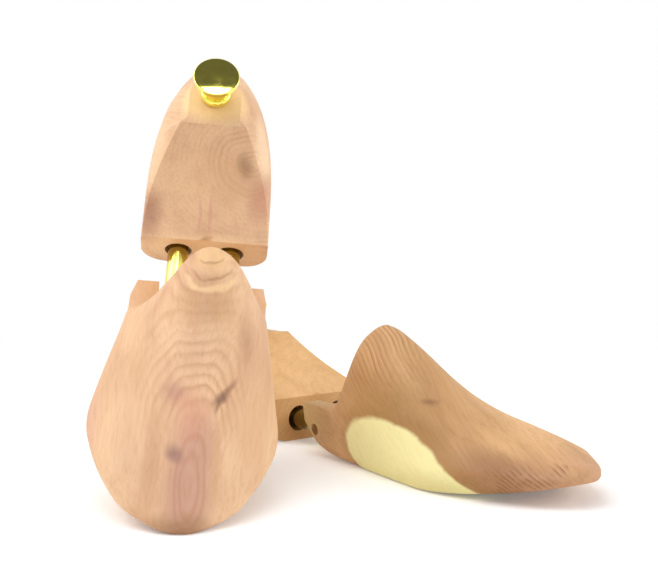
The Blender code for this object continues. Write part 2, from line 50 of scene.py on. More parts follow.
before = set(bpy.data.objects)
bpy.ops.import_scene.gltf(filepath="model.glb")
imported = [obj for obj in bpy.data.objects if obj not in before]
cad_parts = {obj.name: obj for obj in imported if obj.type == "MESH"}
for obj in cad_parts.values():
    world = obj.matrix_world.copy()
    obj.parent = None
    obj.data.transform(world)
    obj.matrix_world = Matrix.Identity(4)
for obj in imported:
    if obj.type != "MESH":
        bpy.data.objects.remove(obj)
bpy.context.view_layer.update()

# Forepart outline and heights that the settings leave alone
INNER_BALL_AT = 0.0858
OUTER_BALL_AT = 0.0942
WIDEST_AT = max(INNER_BALL_AT, OUTER_BALL_AT)
TOE_OFFSET = -0.0013
BALL_ROUNDNESS = 0.121
BALL_ROUNDING = 0.008
TOE_TAPER = 1.22
TOE_WIDTH = 0.50
TOE_SQUARENESS = 5.83
SOLE_ROUND = 0.0075
SOLE_ROUND_UP = 0.8
SOLE_ROUND_IN = 0.4
SHOULDER_FLAT_LENGTH = 0.027
SIDE_HEIGHT = 0.0088
SIDE_LOW_AT = 0.0818
TOE_SPRING_FROM = 0.084
NOSE_THICKNESS = 0.0036
HUMP_PEAK_AT = 0.0326
HUMP_START = 0.0051
HUMP_REAR_ROUNDNESS = 1.32
HUMP_OFFSET = 0.0029
HUMP_FOOT_GROWTH = 1.16
HUMP_INNER = (1.75, 2.54)
HUMP_OUTER = (2.73, 1.73)
TOE_ACROSS = 2.0
TOE_DOWN = 0.66
TOE_WALL = 0.25
INSTEP = ((0.039, 0.0636), (0.052, 0.0565), (0.066, 0.0461), (0.077, 0.0389), (0.090, 0.0330))
TOE_CROWN = ((0.108, 0.0281), (0.132, 0.0212), (0.147, 0.0171))
SHOULDER_UNDERCUT = 0.028
UNDERCUT_REACH = 0.100
UNDERCUT_GROWTH = 2.6
LEAST_STEP = 0.0002
FOREPART_END = 0.0003

# Hinge, tubes, bores and springs
CLEARANCE = 0.0003
PIN_AT = 0.0109
PIN_HEIGHT = 0.0130
PIN_RADIUS = 0.0018
PIN_RECESS = 0.006
PIN_RECESS_RADIUS = 0.0029
BARREL_RADIUS = 0.0112
BARREL_EDGE = 0.0008
BARREL_EDGE_BOW = 0.3
BARREL_END_WALL = 0.0015
SLOT_HEADROOM = 0.0015
TUBE_RADIUS = 0.0049
TUBE_WALL = 0.0007
TUBE_EDGE = 0.0002
TUBE_SPACING = 0.0252
TUBE_HEIGHT = 0.0111
TUBE_IN_BARREL = 0.0190
TUBE_IN_HEEL = 0.028
TRAVEL = 0.012
BARREL_WIDTH = TUBE_SPACING + 2 * (TUBE_RADIUS + CLEARANCE + BARREL_END_WALL)
SPRING_ROOM = 0.032
SPRING_RADIUS = 0.0045
SPRING_WIRE = 0.0006
SPRING_TURNS = 6

# Heel block
HEEL_LENGTH = 0.1062
CREST_AT = HEEL_LENGTH * 0.4590
KNOB_AT = HEEL_LENGTH * 0.6175
HEEL_GAP = 0.0258
MOUTH_AT = -(PIN_AT + HEEL_GAP)
HEEL_PARALLEL = 0.024
HEEL_ROUNDNESS = 2.3
HEEL_EDGE_HEIGHT = 0.0221
HEEL_EDGE_INSET = 0.0006
HEEL_SIDE_HEIGHT = 0.0200
HEEL_SIDE_INSET = 0.0003
HEEL_SOLE_ROUND = 0.0115
HEEL_REAR_ROUND = 0.35
HEEL_ROUND_IN = 0.7
HEEL_END = 0.0005
CREST_WIDTH = 0.0314
CREST_STRAIGHTNESS = 0.55
CREST_NARROWING = 2.2
LANDING_WIDTH = 0.0250
LANDING_RAMP = 0.004
LANDING_END = 0.0135
LEAST_TOP = 0.0004
REAR_SIDE_DROP = 0.027
REAR_CURVE = 1.3
MOUTH_RADIUS = 0.0065
MOUTH_DEPTH = 0.005
STOP_PIN_AT = 0.016
STOP_PIN_RADIUS = 0.0012
SCREW_RADIUS = 0.0023
SCREW_IN_HEEL = 0.020
SCREW_IN_KNOB = 0.009

# Knob
KNOB_RIM = 0.0024
KNOB_EASE = 0.0004
KNOB_DOME = 0.0007
KNOB_WAIST = 0.0058
KNOB_WAIST_SHARE = 0.30
KNOB_FOOT = 0.0076
KNOB_FOOT_EDGE = 0.0006
KNOB_FOOT_HIGH = 0.0042
KNOB_FOOT_BULGE = 0.0016
KNOB_FOOT_MIDDLE = 0.40
KNOB_FOOT_FROM = 0.35
KNOB_FOOT_ARC = 1.3

# Where the trees are
LYING_AT = (0.0789, 0.0, 0.0)
STANDING_AT = (0.0476, -0.0690, 0.061031)
STANDING_TURN = (math.radians(-5.2), math.radians(26.8), math.radians(-35.7))
STANDING_BEND = math.radians(30.2)

# Camera: its place, how far it looks down, its heading, and its focal length in the picture's pixels
CAMERA_AT = (0.54626, -0.37510, 0.12675)
CAMERA_DOWN = 4.65
CAMERA_HEADING = 142.244
FOCAL_PIXELS = 1206.81
PICTURE_WIDTH = 658
SENSOR_WIDTH = 36.0

# Softboxes and cards: where each is, what it faces, its width and height, and its power or its level
SOFTBOXES = {
    "left_softbox": ((-0.40, -0.75, 0.75), (0.08, -0.05, 0.05), 0.7, 0.7, 3.4),
    "right_softbox": ((0.75, 0.80, 0.40), (0.08, -0.03, 0.08), 0.8, 0.6, 4.5),
    "top_softbox": ((-0.08, -0.40, 1.20), (0.08, -0.03, 0.03), 1.4, 1.4, 8.0),
}
CARDS = {
    "dark_ceiling": ((0.197, -0.149, 1.05), (0.02, -0.05, 0.18), 0.60, 0.60, 0.13),
    "bright_front": ((0.5349, -0.3807, 0.8488), (0.02, -0.05, 0.18), 0.60, 0.34, 8.0),
}
SIDEWAYS = (0.612, 0.791, 0.0)
SIDE_LIGHT = 0.12
ROUND_LIGHT = 0.48
FLOOR_LIFT = 0.15
FLOOR_MIDDLE = (0.05, -0.03, 0.0)
FLOOR_FADE = (0.22, 0.50)

# Mesh fineness
FOREPART_ROWS = 110
HEEL_ROWS = 56
HEEL_ROW_GAP = 0.0006
SOLE_STEPS = 5
ROUND_STEPS = 8
FLANK_STEPS = 34
FLANK_SPREAD = 0.85
BEVEL_STEPS = 9
FACET_STEPS = 7
TURNED_STEPS = 72
KNOB_TURNED_STEPS = 96
BORE_STEPS = 40
KNOB_STEPS = 16
COIL_STEPS = 24
WIRE_SIDES = 10
SMOOTH_ANGLE = math.radians(38)
FACET_ANGLE = math.radians(13)
EDGE_WIDTH = 0.0005
EDGE_STEPS = 2
EDGE_ANGLE = math.radians(50)
EASING_FROM = 0.020
EASING_RAMP = 0.022
EASING_POINTS = 40
EASING_PASSES = 26
RIDGE_EASING_FROM = 0.012
RIDGE_PASSES = 7


def srgb(*values):
    """A linear colour from screen values of 0 to 255."""
    return tuple(v / 255 / 12.92 if v <= 10 else ((v / 255 + 0.055) / 1.055) ** 2.4 for v in values)


def size(name, description, default):
    limits = {"min": 0.0001, "precision": 4, "unit": "LENGTH"}
    return FloatProperty(name=name, description=description, default=default, **limits)


def colour(name, description, default):
    limits = {"min": 0.0, "max": 1.0, "size": 3, "subtype": "COLOR"}
    return FloatVectorProperty(name=name, description=description, default=srgb(*default), **limits)


class ForepartSettings(bpy.types.PropertyGroup):
    length: size("Length", "From the shoulders' rear end to the toe", 0.1556)
    shoulder_width: size("Shoulder width", "Across the two shoulders", 0.0593)
    inner_ball: size("Inner ball", "From the middle line to the inner side's widest point", 0.0425)
    outer_ball: size("Outer ball", "From the middle line to the outer side's widest point", 0.0388)
    shoulder_height: size("Shoulder height", "From the sole to the flat shoulders", 0.0248)
    hump_height: size("Hump height", "From the sole to the hump's peak", 0.0649)
    toe_spring: size("Toe spring", "How far the sole lifts at the toe", 0.0105)


class HeelSettings(bpy.types.PropertyGroup):
    length: size("Length", "From the front face to the rear", HEEL_LENGTH)
    width: size("Width", "Across the parallel part", 0.0611)
    crest_height: size("Crest height", "From the sole to the crest and the landing", 0.0494)


class KnobSettings(bpy.types.PropertyGroup):
    radius: size("Radius", "Of the knob's disc", 0.0109)
    height: size("Height", "From the landing to the top of the knob", 0.0163)


class FinishSettings(bpy.types.PropertyGroup):
    right_light: colour("Right light wood", "Early wood of the lying tree", (228, 180, 127))
    right_dark: colour("Right dark wood", "Late wood of the lying tree", (172, 124, 76))
    left_light: colour("Left light wood", "Early wood of the standing tree", (240, 198, 156))
    left_dark: colour("Left dark wood", "Late wood of the standing tree", (208, 156, 118))
    heart: colour("Heartwood", "Purplish wood round the pith", (197, 146, 127))
    sapwood: colour("Sapwood", "Pale outer wood", (250, 240, 174))
    brass: colour("Brass", "Tubes and knobs", (247, 236, 112))
    steel: colour("Steel", "Pins, screws and springs", (150, 148, 144))


class StageSettings(bpy.types.PropertyGroup):
    floor_size: size("Floor size", "Side of the square floor", 12.0)
    floor: colour("Floor", "Colour of the floor", (255, 255, 255))


def mix(a, b, share):
    return a + (b - a) * share


def smoothstep(value):
    value = min(max(value, 0.0), 1.0)
    return value * value * (3 - 2 * value)


def curve_through(points, x):
    """Height at x of the smooth curve through the points, with each slope taken from its neighbours."""
    last = len(points) - 1
    slopes = []
    for k in range(last + 1):
        (x0, z0), (x1, z1) = points[max(k - 1, 0)], points[min(k + 1, last)]
        slopes.append((z1 - z0) / (x1 - x0))
    k = next((k for k in range(last) if x <= points[k + 1][0]), last - 1)
    (x0, z0), (x1, z1) = points[k], points[k + 1]
    step = x1 - x0
    t = (x - x0) / step
    h00, h10 = 2 * t**3 - 3 * t**2 + 1, t**3 - 2 * t**2 + t
    h01, h11 = 3 * t**2 - 2 * t**3, t**3 - t**2
    return h00 * z0 + h10 * step * slopes[k] + h01 * z1 + h11 * step * slopes[k + 1]


def forepart_half_width(fore, x, ball, ball_at, towards):
    """Distance from the middle line to the side at x, on the inner (+1) or outer (-1) half."""
    if x <= ball_at:
        share = x / ball_at
        bow = mix(share, math.sin(math.pi / 2 * share), BALL_ROUNDNESS)
        return mix(fore.shoulder_width / 2, ball, bow)
    middle = TOE_OFFSET * towards
    share = (x - ball_at) / (fore.length - ball_at)
    tapered = mix(ball - middle, (ball - middle) * TOE_WIDTH, share**TOE_TAPER)
    return middle + tapered * math.sqrt(max(1 - share**TOE_SQUARENESS, 0.0))


def rounded_half_width(fore, x, ball, ball_at, towards):
    """The half-width with its corner at the ball rounded along the tree."""
    span = min(BALL_ROUNDING, x, fore.length - x)
    near = [forepart_half_width(fore, x + span * k / 4, ball, ball_at, towards) for k in range(-4, 5)]
    return sum(near) / len(near)


def sole_height(fore, x):
    share = max(x - TOE_SPRING_FROM, 0.0) / (fore.length - TOE_SPRING_FROM)
    return fore.toe_spring * share**2


def crown_height(fore, x):
    """Height of the ridge: up the hump's rear, then down the instep to the nose."""
    nose = sole_height(fore, fore.length) + NOSE_THICKNESS
    if x <= HUMP_PEAK_AT:
        share = min((HUMP_PEAK_AT - x) / (HUMP_PEAK_AT - HUMP_START), 1.0)
        rise = (1 - share**HUMP_REAR_ROUNDNESS) ** (1 / HUMP_REAR_ROUNDNESS)
        return fore.shoulder_height + max((fore.hump_height - fore.shoulder_height) * rise, LEAST_STEP)
    blunt_from, blunt_height = TOE_CROWN[-1]
    if x <= blunt_from:
        return curve_through(((HUMP_PEAK_AT, fore.hump_height),) + INSTEP + TOE_CROWN, x)
    share = (x - blunt_from) / (fore.length - blunt_from)
    return nose + (blunt_height - nose) * math.sqrt(max(1 - share**2, 0.0))


def rounded_sole(middle, width, height, round_in, round_up):
    """Points (y, z) from under the middle to the side, round the sole's edge."""
    points = [(mix(middle, width - round_in, k / SOLE_STEPS), height) for k in range(SOLE_STEPS)]
    for k in range(ROUND_STEPS + 1):
        angle = math.pi / 2 * k / ROUND_STEPS
        points.append((width - round_in * (1 - math.sin(angle)), height + round_up * (1 - math.cos(angle))))
    return points


def forepart_half(fore, x, towards):
    """Points (y, z) from under the middle up to the ridge, on the inner (+1) or outer (-1) half."""
    inner = towards > 0
    ball, ball_at = (fore.inner_ball, INNER_BALL_AT) if inner else (fore.outer_ball, OUTER_BALL_AT)
    hump_across, hump_down = HUMP_INNER if inner else HUMP_OUTER
    width = rounded_half_width(fore, x, ball, ball_at, towards)
    to_toe = smoothstep((x - WIDEST_AT) / (fore.length - WIDEST_AT))
    middle = TOE_OFFSET * towards * to_toe
    past_hump = smoothstep((x - HUMP_PEAK_AT) / WIDEST_AT)
    ridge = mix(-HUMP_OFFSET * towards, TOE_OFFSET * towards, past_hump)
    sole, crown = sole_height(fore, x), crown_height(fore, x)
    side_top = mix(fore.shoulder_height, SIDE_HEIGHT, smoothstep((x - SHOULDER_FLAT_LENGTH) / SIDE_LOW_AT))
    side_top = min(sole + side_top, mix(sole, crown, mix(1.0, TOE_WALL, to_toe)))
    round_up = min(SOLE_ROUND, (side_top - sole) * SOLE_ROUND_UP)
    points = rounded_sole(middle, width, sole, min(SOLE_ROUND, (width - middle) * SOLE_ROUND_IN), round_up)
    points += [(width, mix(sole + round_up, side_top, 0.5)), (width, side_top)]
    if x >= SHOULDER_FLAT_LENGTH:
        foot, foot_height = width - 2 * LEAST_STEP, side_top + LEAST_STEP
    else:
        share = max((x - HUMP_START) / (SHOULDER_FLAT_LENGTH - HUMP_START), 0.0)
        foot = min(mix(ridge + 5 * LEAST_STEP, width, share**HUMP_FOOT_GROWTH), width - 2 * LEAST_STEP)
        foot_height = side_top
    across, down = mix(hump_across, TOE_ACROSS, past_hump), mix(hump_down, TOE_DOWN, past_hump)
    points.append((foot, foot_height))
    for k in range(1, FLANK_STEPS + 1):
        u = 0.0 if k == FLANK_STEPS else math.cos(math.pi / 2 * (k / FLANK_STEPS) ** FLANK_SPREAD)
        points.append((mix(ridge, foot, u), mix(foot_height, crown, (1 - u**across) ** down)))
    return [(y * towards, z) for y, z in points]


def evened(line, count):
    """The line's points again at even distances along it, with how far along each old point lies."""
    run = [0.0]
    for before, after in zip(line, line[1:]):
        run.append(run[-1] + (after - before).length)
    even = []
    for k in range(count + 1):
        reach = run[-1] * k / count
        j = next((j for j in range(1, len(run)) if run[j] >= reach), len(run) - 1)
        even.append(line[j - 1].lerp(line[j], (reach - run[j - 1]) / max(run[j] - run[j - 1], 1e-9)))
    return even, [reach / run[-1] * count for reach in run]


def eased(line, share, count, passes):
    """The line drawn towards a soft curve, with its ends and its width kept."""
    if share <= 0:
        return line
    even, places = evened(line, count)
    for _ in range(passes):
        even = [even[0]] + [(a + 2 * b + c) / 4 for a, b, c in zip(even, even[1:], even[2:])] + [even[-1]]
    soft = []
    for at in places:
        j = min(int(at), count - 1)
        soft.append(even[j].lerp(even[j + 1], at - j))
    left, right = (min(point.x for point in line), max(point.x for point in line))
    soft_left, soft_right = min(point.x for point in soft), max(point.x for point in soft)
    made = []
    for point, moved in zip(line, soft):
        width = right / soft_right if moved.x > 0 else left / min(soft_left, -1e-9)
        made.append(point.lerp(Vector((moved.x * width, moved.y)), share))
    return made


def forepart_ring(fore, x, side):
    """Points round the forepart at x, with its flanks and its ridge eased and its rear undercut."""
    start = SOLE_STEPS + 2
    share = smoothstep((x - EASING_FROM) / EASING_RAMP)
    halves = []
    for towards in (1, -1):
        half = [Vector((y * towards, z)) for y, z in forepart_half(fore, x, towards)]
        half[start:] = eased(half[start:], share, EASING_POINTS, EASING_PASSES)
        halves.append([Vector((point.x * towards, point.y)) for point in half])
    inner, outer = halves
    share = smoothstep((x - RIDGE_EASING_FROM) / RIDGE_EASING_FROM)
    over = eased(inner[start:] + outer[-2:start - 1:-1], share, 2 * EASING_POINTS, RIDGE_PASSES)
    fade = max(1 - x / UNDERCUT_REACH, 0.0) ** 2
    ring = []
    for y, z in inner[:start] + over + outer[start - 1:0:-1]:
        low = max(1 - z / fore.shoulder_height, 0.0)
        ring.append(Vector((x + SHOULDER_UNDERCUT * low**UNDERCUT_GROWTH * fade, y * side, z)))
    return ring


def heel_half_width(heel, back):
    share = max(back - HEEL_PARALLEL, 0.0) / (heel.length - HEEL_PARALLEL)
    return heel.width / 2 * math.sqrt(max(1 - share**HEEL_ROUNDNESS, 0.0))


def heel_top(heel, back):
    """Half-width and height of the heel's top face this far behind its front."""
    landing_stop = KNOB_AT + LANDING_END
    if back <= CREST_AT:
        share = back / CREST_AT
        rise = CREST_STRAIGHTNESS * share + (1 - CREST_STRAIGHTNESS) * share**3
        narrow = mix(heel_half_width(heel, 0) - HEEL_EDGE_INSET, CREST_WIDTH / 2, share**CREST_NARROWING)
        return narrow, mix(HEEL_EDGE_HEIGHT, heel.crest_height, rise)
    if back <= KNOB_AT:
        share = smoothstep((back - CREST_AT) / LANDING_RAMP)
        return mix(CREST_WIDTH / 2, LANDING_WIDTH / 2, share), heel.crest_height
    if back <= landing_stop:
        share = (back - KNOB_AT) / LANDING_END
        return max(LANDING_WIDTH / 2 * math.sqrt(max(1 - share**2, 0.0)), LEAST_TOP), heel.crest_height
    share = (back - landing_stop) / (heel.length - landing_stop)
    return LEAST_TOP, heel.crest_height - REAR_SIDE_DROP * share**REAR_CURVE


def heel_half(heel, back, towards):
    """Points (y, z) from under the middle up to the top's middle, on the inner (+1) or outer (-1) half."""
    width = heel_half_width(heel, back)
    half_top, top = heel_top(heel, back)
    half_top = min(half_top, width - HEEL_SIDE_INSET)
    sole_round = HEEL_SOLE_ROUND * mix(HEEL_REAR_ROUND, 1.0, width / (heel.width / 2))
    points = rounded_sole(0, width, 0.0, min(sole_round, width * HEEL_ROUND_IN), sole_round)
    for k in range(BEVEL_STEPS + 1):
        straight, angle = k / BEVEL_STEPS, math.pi / 2 * k / BEVEL_STEPS
        y = mix(width, half_top, (straight + 1 - math.cos(angle)) / 2)
        points.append((y, mix(HEEL_SIDE_HEIGHT, top, (straight + math.sin(angle)) / 2)))
    points += [(mix(half_top, 0, k / FACET_STEPS), top) for k in range(1, FACET_STEPS + 1)]
    return [(y * towards, z) for y, z in points]


def heel_backs(heel):
    """Distances behind the front face at which the heel's rows lie, with its corners among them."""
    end = heel.length - HEEL_END
    marks = [0.0, CREST_AT, CREST_AT + LANDING_RAMP, KNOB_AT, KNOB_AT + LANDING_END, end]
    rows = [end * math.sin(math.pi / 2 * k / (HEEL_ROWS - 1)) for k in range(HEEL_ROWS)]
    return sorted(marks + [row for row in rows if min(abs(row - mark) for mark in marks) > HEEL_ROW_GAP])


def closing_row(ring):
    """Each point and the one that faces it drawn together half-way, which closes the end of a skin."""
    return [(ring[j] + ring[-j]) / 2 for j in range(len(ring))]


def skin(rings):
    """A closed skin over rings of points: a flat grid laid on the rings, closed along its seam and ends."""
    rows = [closing_row(rings[0])] + rings + [closing_row(rings[-1])]
    across = len(rows[0])
    made = bmesh.new()
    bmesh.ops.create_grid(made, x_segments=len(rows) - 1, y_segments=across, size=0.5)
    for vertex in made.verts:
        row = round((vertex.co.x + 0.5) * (len(rows) - 1))
        place = round((vertex.co.y + 0.5) * across) % across
        vertex.co = rows[row][place]
    bmesh.ops.remove_doubles(made, verts=made.verts, dist=1e-6)
    bmesh.ops.recalc_face_normals(made, faces=made.faces)
    return made


def swept(made, parts, angle, steps, along=0.0, merge=False):
    """Sweeps the parts round the x axis, and along it by so much at each step."""
    how = {"cent": (0, 0, 0), "axis": (1, 0, 0), "dvec": (along, 0, 0), "use_merge": merge}
    bmesh.ops.spin(made, geom=parts, angle=angle, steps=steps, **how)


def turned(profile, steps, axis="X", centre=(0, 0, 0), ring=False):
    """A body turned about an axis. profile lists (along, radius); a ring's profile closes on itself."""
    made = bmesh.new()
    points = [made.verts.new((along, 0, radius)) for along, radius in profile]
    edges = [made.edges.new(pair) for pair in zip(points, points[1:])]
    if ring:
        edges.append(made.edges.new((points[-1], points[0])))
    swept(made, points + edges, 2 * math.pi, steps, merge=True)
    bmesh.ops.remove_doubles(made, verts=made.verts, dist=1e-6)
    bmesh.ops.recalc_face_normals(made, faces=made.faces)
    angle, about = {"X": (0, "Z"), "Y": (math.pi / 2, "Z"), "Z": (-math.pi / 2, "Y")}[axis]
    turn = Matrix.Rotation(angle, 4, about)
    bmesh.ops.transform(made, matrix=Matrix.Translation(centre) @ turn, verts=made.verts)
    return made


def drill(steps, end, axis="X", centre=(0, 0, 0)):
    """A round cutter along an axis. steps lists where each radius starts, and the last one stops at end."""
    profile = [(steps[0][0], 0)]
    for (start, radius), (stop, _) in zip(steps, steps[1:] + ((end, 0),)):
        profile += [(start, radius), (stop, radius)]
    return turned(profile + [(end, 0)], BORE_STEPS, axis, centre)


def coil(start, end):
    """A spring's helix of round wire along x, closed at both ends."""
    made = bmesh.new()
    bmesh.ops.create_circle(made, segments=WIRE_SIDES, radius=SPRING_WIRE)
    first = Matrix.Translation((start + SPRING_WIRE, 0, SPRING_RADIUS - SPRING_WIRE))
    bmesh.ops.transform(made, matrix=first @ Matrix.Rotation(math.pi / 2, 4, "X"), verts=made.verts)
    steps = SPRING_TURNS * COIL_STEPS
    along = (end - start - 2 * SPRING_WIRE) / steps
    swept(made, made.verts[:] + made.edges[:], 2 * math.pi * SPRING_TURNS, steps, along)
    bmesh.ops.holes_fill(made, edges=made.edges, sides=0)
    bmesh.ops.recalc_face_normals(made, faces=made.faces)
    return made


def box(low, high):
    made = bmesh.new()
    bmesh.ops.create_cube(made, size=1)
    low, high = Vector(low), Vector(high)
    bmesh.ops.scale(made, vec=high - low, verts=made.verts)
    bmesh.ops.translate(made, vec=(low + high) / 2, verts=made.verts)
    return made


def linked(name, data):
    """A new object of this data, in the scene."""
    thing = bpy.data.objects.new(name, data)
    bpy.context.scene.collection.objects.link(thing)
    return thing


def new_object(name, made):
    mesh = bpy.data.meshes.new(name)
    made.to_mesh(mesh)
    made.free()
    return linked(name, mesh)


def settle(piece):
    """Makes what the piece's modifiers do part of its mesh."""
    graph = bpy.context.evaluated_depsgraph_get()
    settled = bpy.data.meshes.new_from_object(piece.evaluated_get(graph))
    piece.modifiers.clear()
    piece.data = settled


def carve(piece, shapes):
    """Cuts each shape out of the piece."""
    tools = [new_object(f"{piece.name}_cut_{k}", shape) for k, shape in enumerate(shapes)]
    for tool in tools:
        boolean = piece.modifiers.new(tool.name, "BOOLEAN")
        boolean.operation = "DIFFERENCE"
        boolean.solver = "EXACT"
        boolean.object = tool
    settle(piece)
    for tool in tools:
        bpy.data.objects.remove(tool, do_unlink=True)


def soften(piece):
    """A small round on the piece's sharp edges."""
    bevel = piece.modifiers.new("eased_edges", "BEVEL")
    bevel.width = EDGE_WIDTH
    bevel.segments = EDGE_STEPS
    bevel.limit_method = "ANGLE"
    bevel.angle_limit = EDGE_ANGLE
    bevel.use_clamp_overlap = True
    settle(piece)


def finish_piece(piece, place, body, node, material, angle=SMOOTH_ANGLE):
    """Sets the piece in its place, gives it its finish, and makes it stand for its solid."""
    piece.data.transform(place)
    piece.data.shade_smooth()
    piece.data.set_sharp_from_angle(angle=angle)
    piece.data.materials.clear()
    piece.data.materials.append(material)
    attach(piece, body)
    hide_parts(node)


def trees():
    """Each tree's name and side, and the frames of its forepart, of its hinge's pin and of its heel's front."""
    lying = Matrix.Translation(LYING_AT)
    standing = Matrix.Translation(STANDING_AT) @ Euler(STANDING_TURN).to_matrix().to_4x4()
    for name, side, fore, bend in (("right", 1, lying, 0.0), ("left", -1, standing, STANDING_BEND)):
        hinge = fore @ Matrix.Translation((PIN_AT, 0, PIN_HEIGHT)) @ Matrix.Rotation(bend, 4, "Y")
        heel = hinge @ Matrix.Translation((MOUTH_AT, 0, -PIN_HEIGHT))
        yield name, side, fore, hinge, heel


def tube_rows(side):
    """The name and the y of each of a tree's two tubes."""
    return (("inner", TUBE_SPACING / 2 * side), ("outer", -TUBE_SPACING / 2 * side))


class Nodes:
    """Adds shader nodes to a material or a world and links them."""

    def __init__(self, owner):
        owner.use_nodes = True
        self.owner = owner
        self.tree = owner.node_tree

    def put(self, socket, value):
        if isinstance(value, bpy.types.NodeSocket):
            self.tree.links.new(value, socket)
        elif hasattr(socket.default_value, "__len__") and len(socket.default_value) == 4:
            socket.default_value = (*value[:3], 1.0)
        else:
            socket.default_value = value

    def fill(self, name, inputs):
        """Puts values in the inputs of a node that is there from the start."""
        for key, value in inputs.items():
            self.put(self.tree.nodes[name].inputs[key], value)

    def node(self, kind, inputs=None, **settings):
        made = self.tree.nodes.new(kind)
        for key, value in settings.items():
            setattr(made, key, value)
        for key, value in (inputs or {}).items():
            self.put(made.inputs[key], value)
        return made

    def math(self, operation, *values, clamp=False):
        inputs = dict(enumerate(values))
        return self.node("ShaderNodeMath", inputs, operation=operation, use_clamp=clamp).outputs[0]

    def vector(self, operation, *values):
        made = self.node("ShaderNodeVectorMath", dict(enumerate(values)), operation=operation)
        return made.outputs["Value" if operation in ("LENGTH", "DOT_PRODUCT") else "Vector"]

    def mapped(self, vector, location=(0, 0, 0), rotation=(0, 0, 0), scale=(1, 1, 1)):
        inputs = {"Vector": vector, "Location": location, "Rotation": rotation, "Scale": scale}
        return self.node("ShaderNodeMapping", inputs, vector_type="TEXTURE").outputs[0]

    def noise(self, vector, scale, detail=2.0, roughness=0.5, coloured=False):
        inputs = {"Vector": vector, "Scale": scale, "Detail": detail, "Roughness": roughness}
        return self.node("ShaderNodeTexNoise", inputs).outputs["Color" if coloured else "Fac"]

    def streaks(self, vector, along, across, detail=2.0, roughness=0.5):
        """Noise drawn out along x, with so many waves to the metre along and across."""
        drawn_out = self.mapped(vector, scale=(1 / along, 1 / across, 1 / across))
        return self.noise(drawn_out, 1.0, detail, roughness)

    def swayed(self, vector, here, scale, reach, detail=2.0):
        """The vector moved about by noise, by up to half of reach on each axis."""
        sway = self.vector("SUBTRACT", self.noise(here, scale, detail, coloured=True), (0.5, 0.5, 0.5))
        return self.vector("MULTIPLY_ADD", sway, reach, vector)

    def range(self, value, low, high, to_low=0.0, to_high=1.0, smooth=True):
        inputs = {"Value": value, "From Min": low, "From Max": high, "To Min": to_low, "To Max": to_high}
        kind = "SMOOTHSTEP" if smooth else "LINEAR"
        return self.node("ShaderNodeMapRange", inputs, interpolation_type=kind).outputs[0]

    def blend(self, share, first, second, kind="MIX"):
        made = self.node("ShaderNodeMix", None, data_type="RGBA", blend_type=kind)
        colours = [socket for socket in made.inputs if socket.type == "RGBA"]
        for socket, value in ((made.inputs["Factor"], share), (colours[0], first), (colours[1], second)):
            self.put(socket, value)
        return next(socket for socket in made.outputs if socket.type == "RGBA")

    def ramp(self, value, stops):
        made = self.node("ShaderNodeValToRGB", {"Fac": value})
        elements = made.color_ramp.elements
        while len(elements) < len(stops):
            elements.new(0.5)
        for element, (position, level) in zip(elements, stops):
            element.position = position
            element.color = (level, level, level, 1.0)
        return made.outputs[0]

    def bump(self, height, strength, distance):
        inputs = {"Height": height, "Strength": strength, "Distance": distance}
        return self.node("ShaderNodeBump", inputs).outputs["Normal"]

    def glow(self, strength, level=1.0):
        inputs = {"Color": (level, level, level), "Strength": strength}
        return self.node("ShaderNodeEmission", inputs).outputs[0]

    def spot(self, here, centre, radii, turn=(0, 0, 0), inside=0.6):
        """1 inside an ellipsoid about the centre, fading to 0 at its surface."""
        return self.range(self.vector("LENGTH", self.mapped(here, centre, turn, radii)), inside, 1.0, 1.0, 0.0)

    def place(self, matrix):
        """The object's coordinates in the frame that the matrix gives."""
        coordinates = self.node("ShaderNodeTexCoord").outputs["Object"]
        return self.mapped(coordinates, matrix.translation, matrix.to_euler())

    def seen(self):
        """1 for rays from the camera and for those that shiny or clear things send on."""
        path = self.node("ShaderNodeLightPath").outputs
        either = self.math("MAXIMUM", path["Is Camera Ray"], path["Is Glossy Ray"])
        return self.math("MAXIMUM", either, path["Is Transmission Ray"])


# Across a growth ring: how far through it, and how dark it is there
CRISP_LINE = ((0.0, 0.0), (0.35, 0.10), (0.70, 0.55), (0.88, 1.0), (1.0, 0.05))
SOFT_LINE = ((0.0, 0.15), (0.30, 0.0), (0.60, 0.45), (0.80, 0.85), (1.0, 0.30))
# Painted shade inside the heel's bores and the pin's recess, where the holes lie in shade: its colour, its
# strength, and how far along each bore from its mouth it reaches
BORE_PAINTED_SHADE = srgb(88, 56, 28)
BORE_SHADE_STRENGTH = 0.75
MOUTH_SHADE_REACH = 0.05
# Streaks: waves to the metre along and across the grain, then the noise's detail and roughness
FIBRES = (45, 900, 4.0, 0.6)
STREAKS = (12, 130, 3.0, 0.55)
BANDS = (9, 34)
SCRATCHES = (90, 2500)
# Sways: waves to the metre, reach, and the noise's detail where it isn't 2
SWAY = (16.0, (0.010, 0.010, 0.010))
FINE_SWAY = (75.0, (0.0016, 0.0016, 0.0016))
MARK_SWAY = (60.0, (0.006, 0.004, 0.005), 3.0)
HEART_REACH = (0.008, 0.016)
# Least and greatest roughness of the brass
KNOB_ROUGH = (0.05, 0.13)
TUBE_ROUGH = (0.10, 0.18)
# Painted shade on the tubes by the heel block's mouth: its colour, and how far from it it starts and stops to
# fade
TUBE_PAINTED_SHADE = {"right": (srgb(58, 42, 20), 0.009, 0.024), "left": (srgb(128, 108, 44), 0.002, 0.012)}

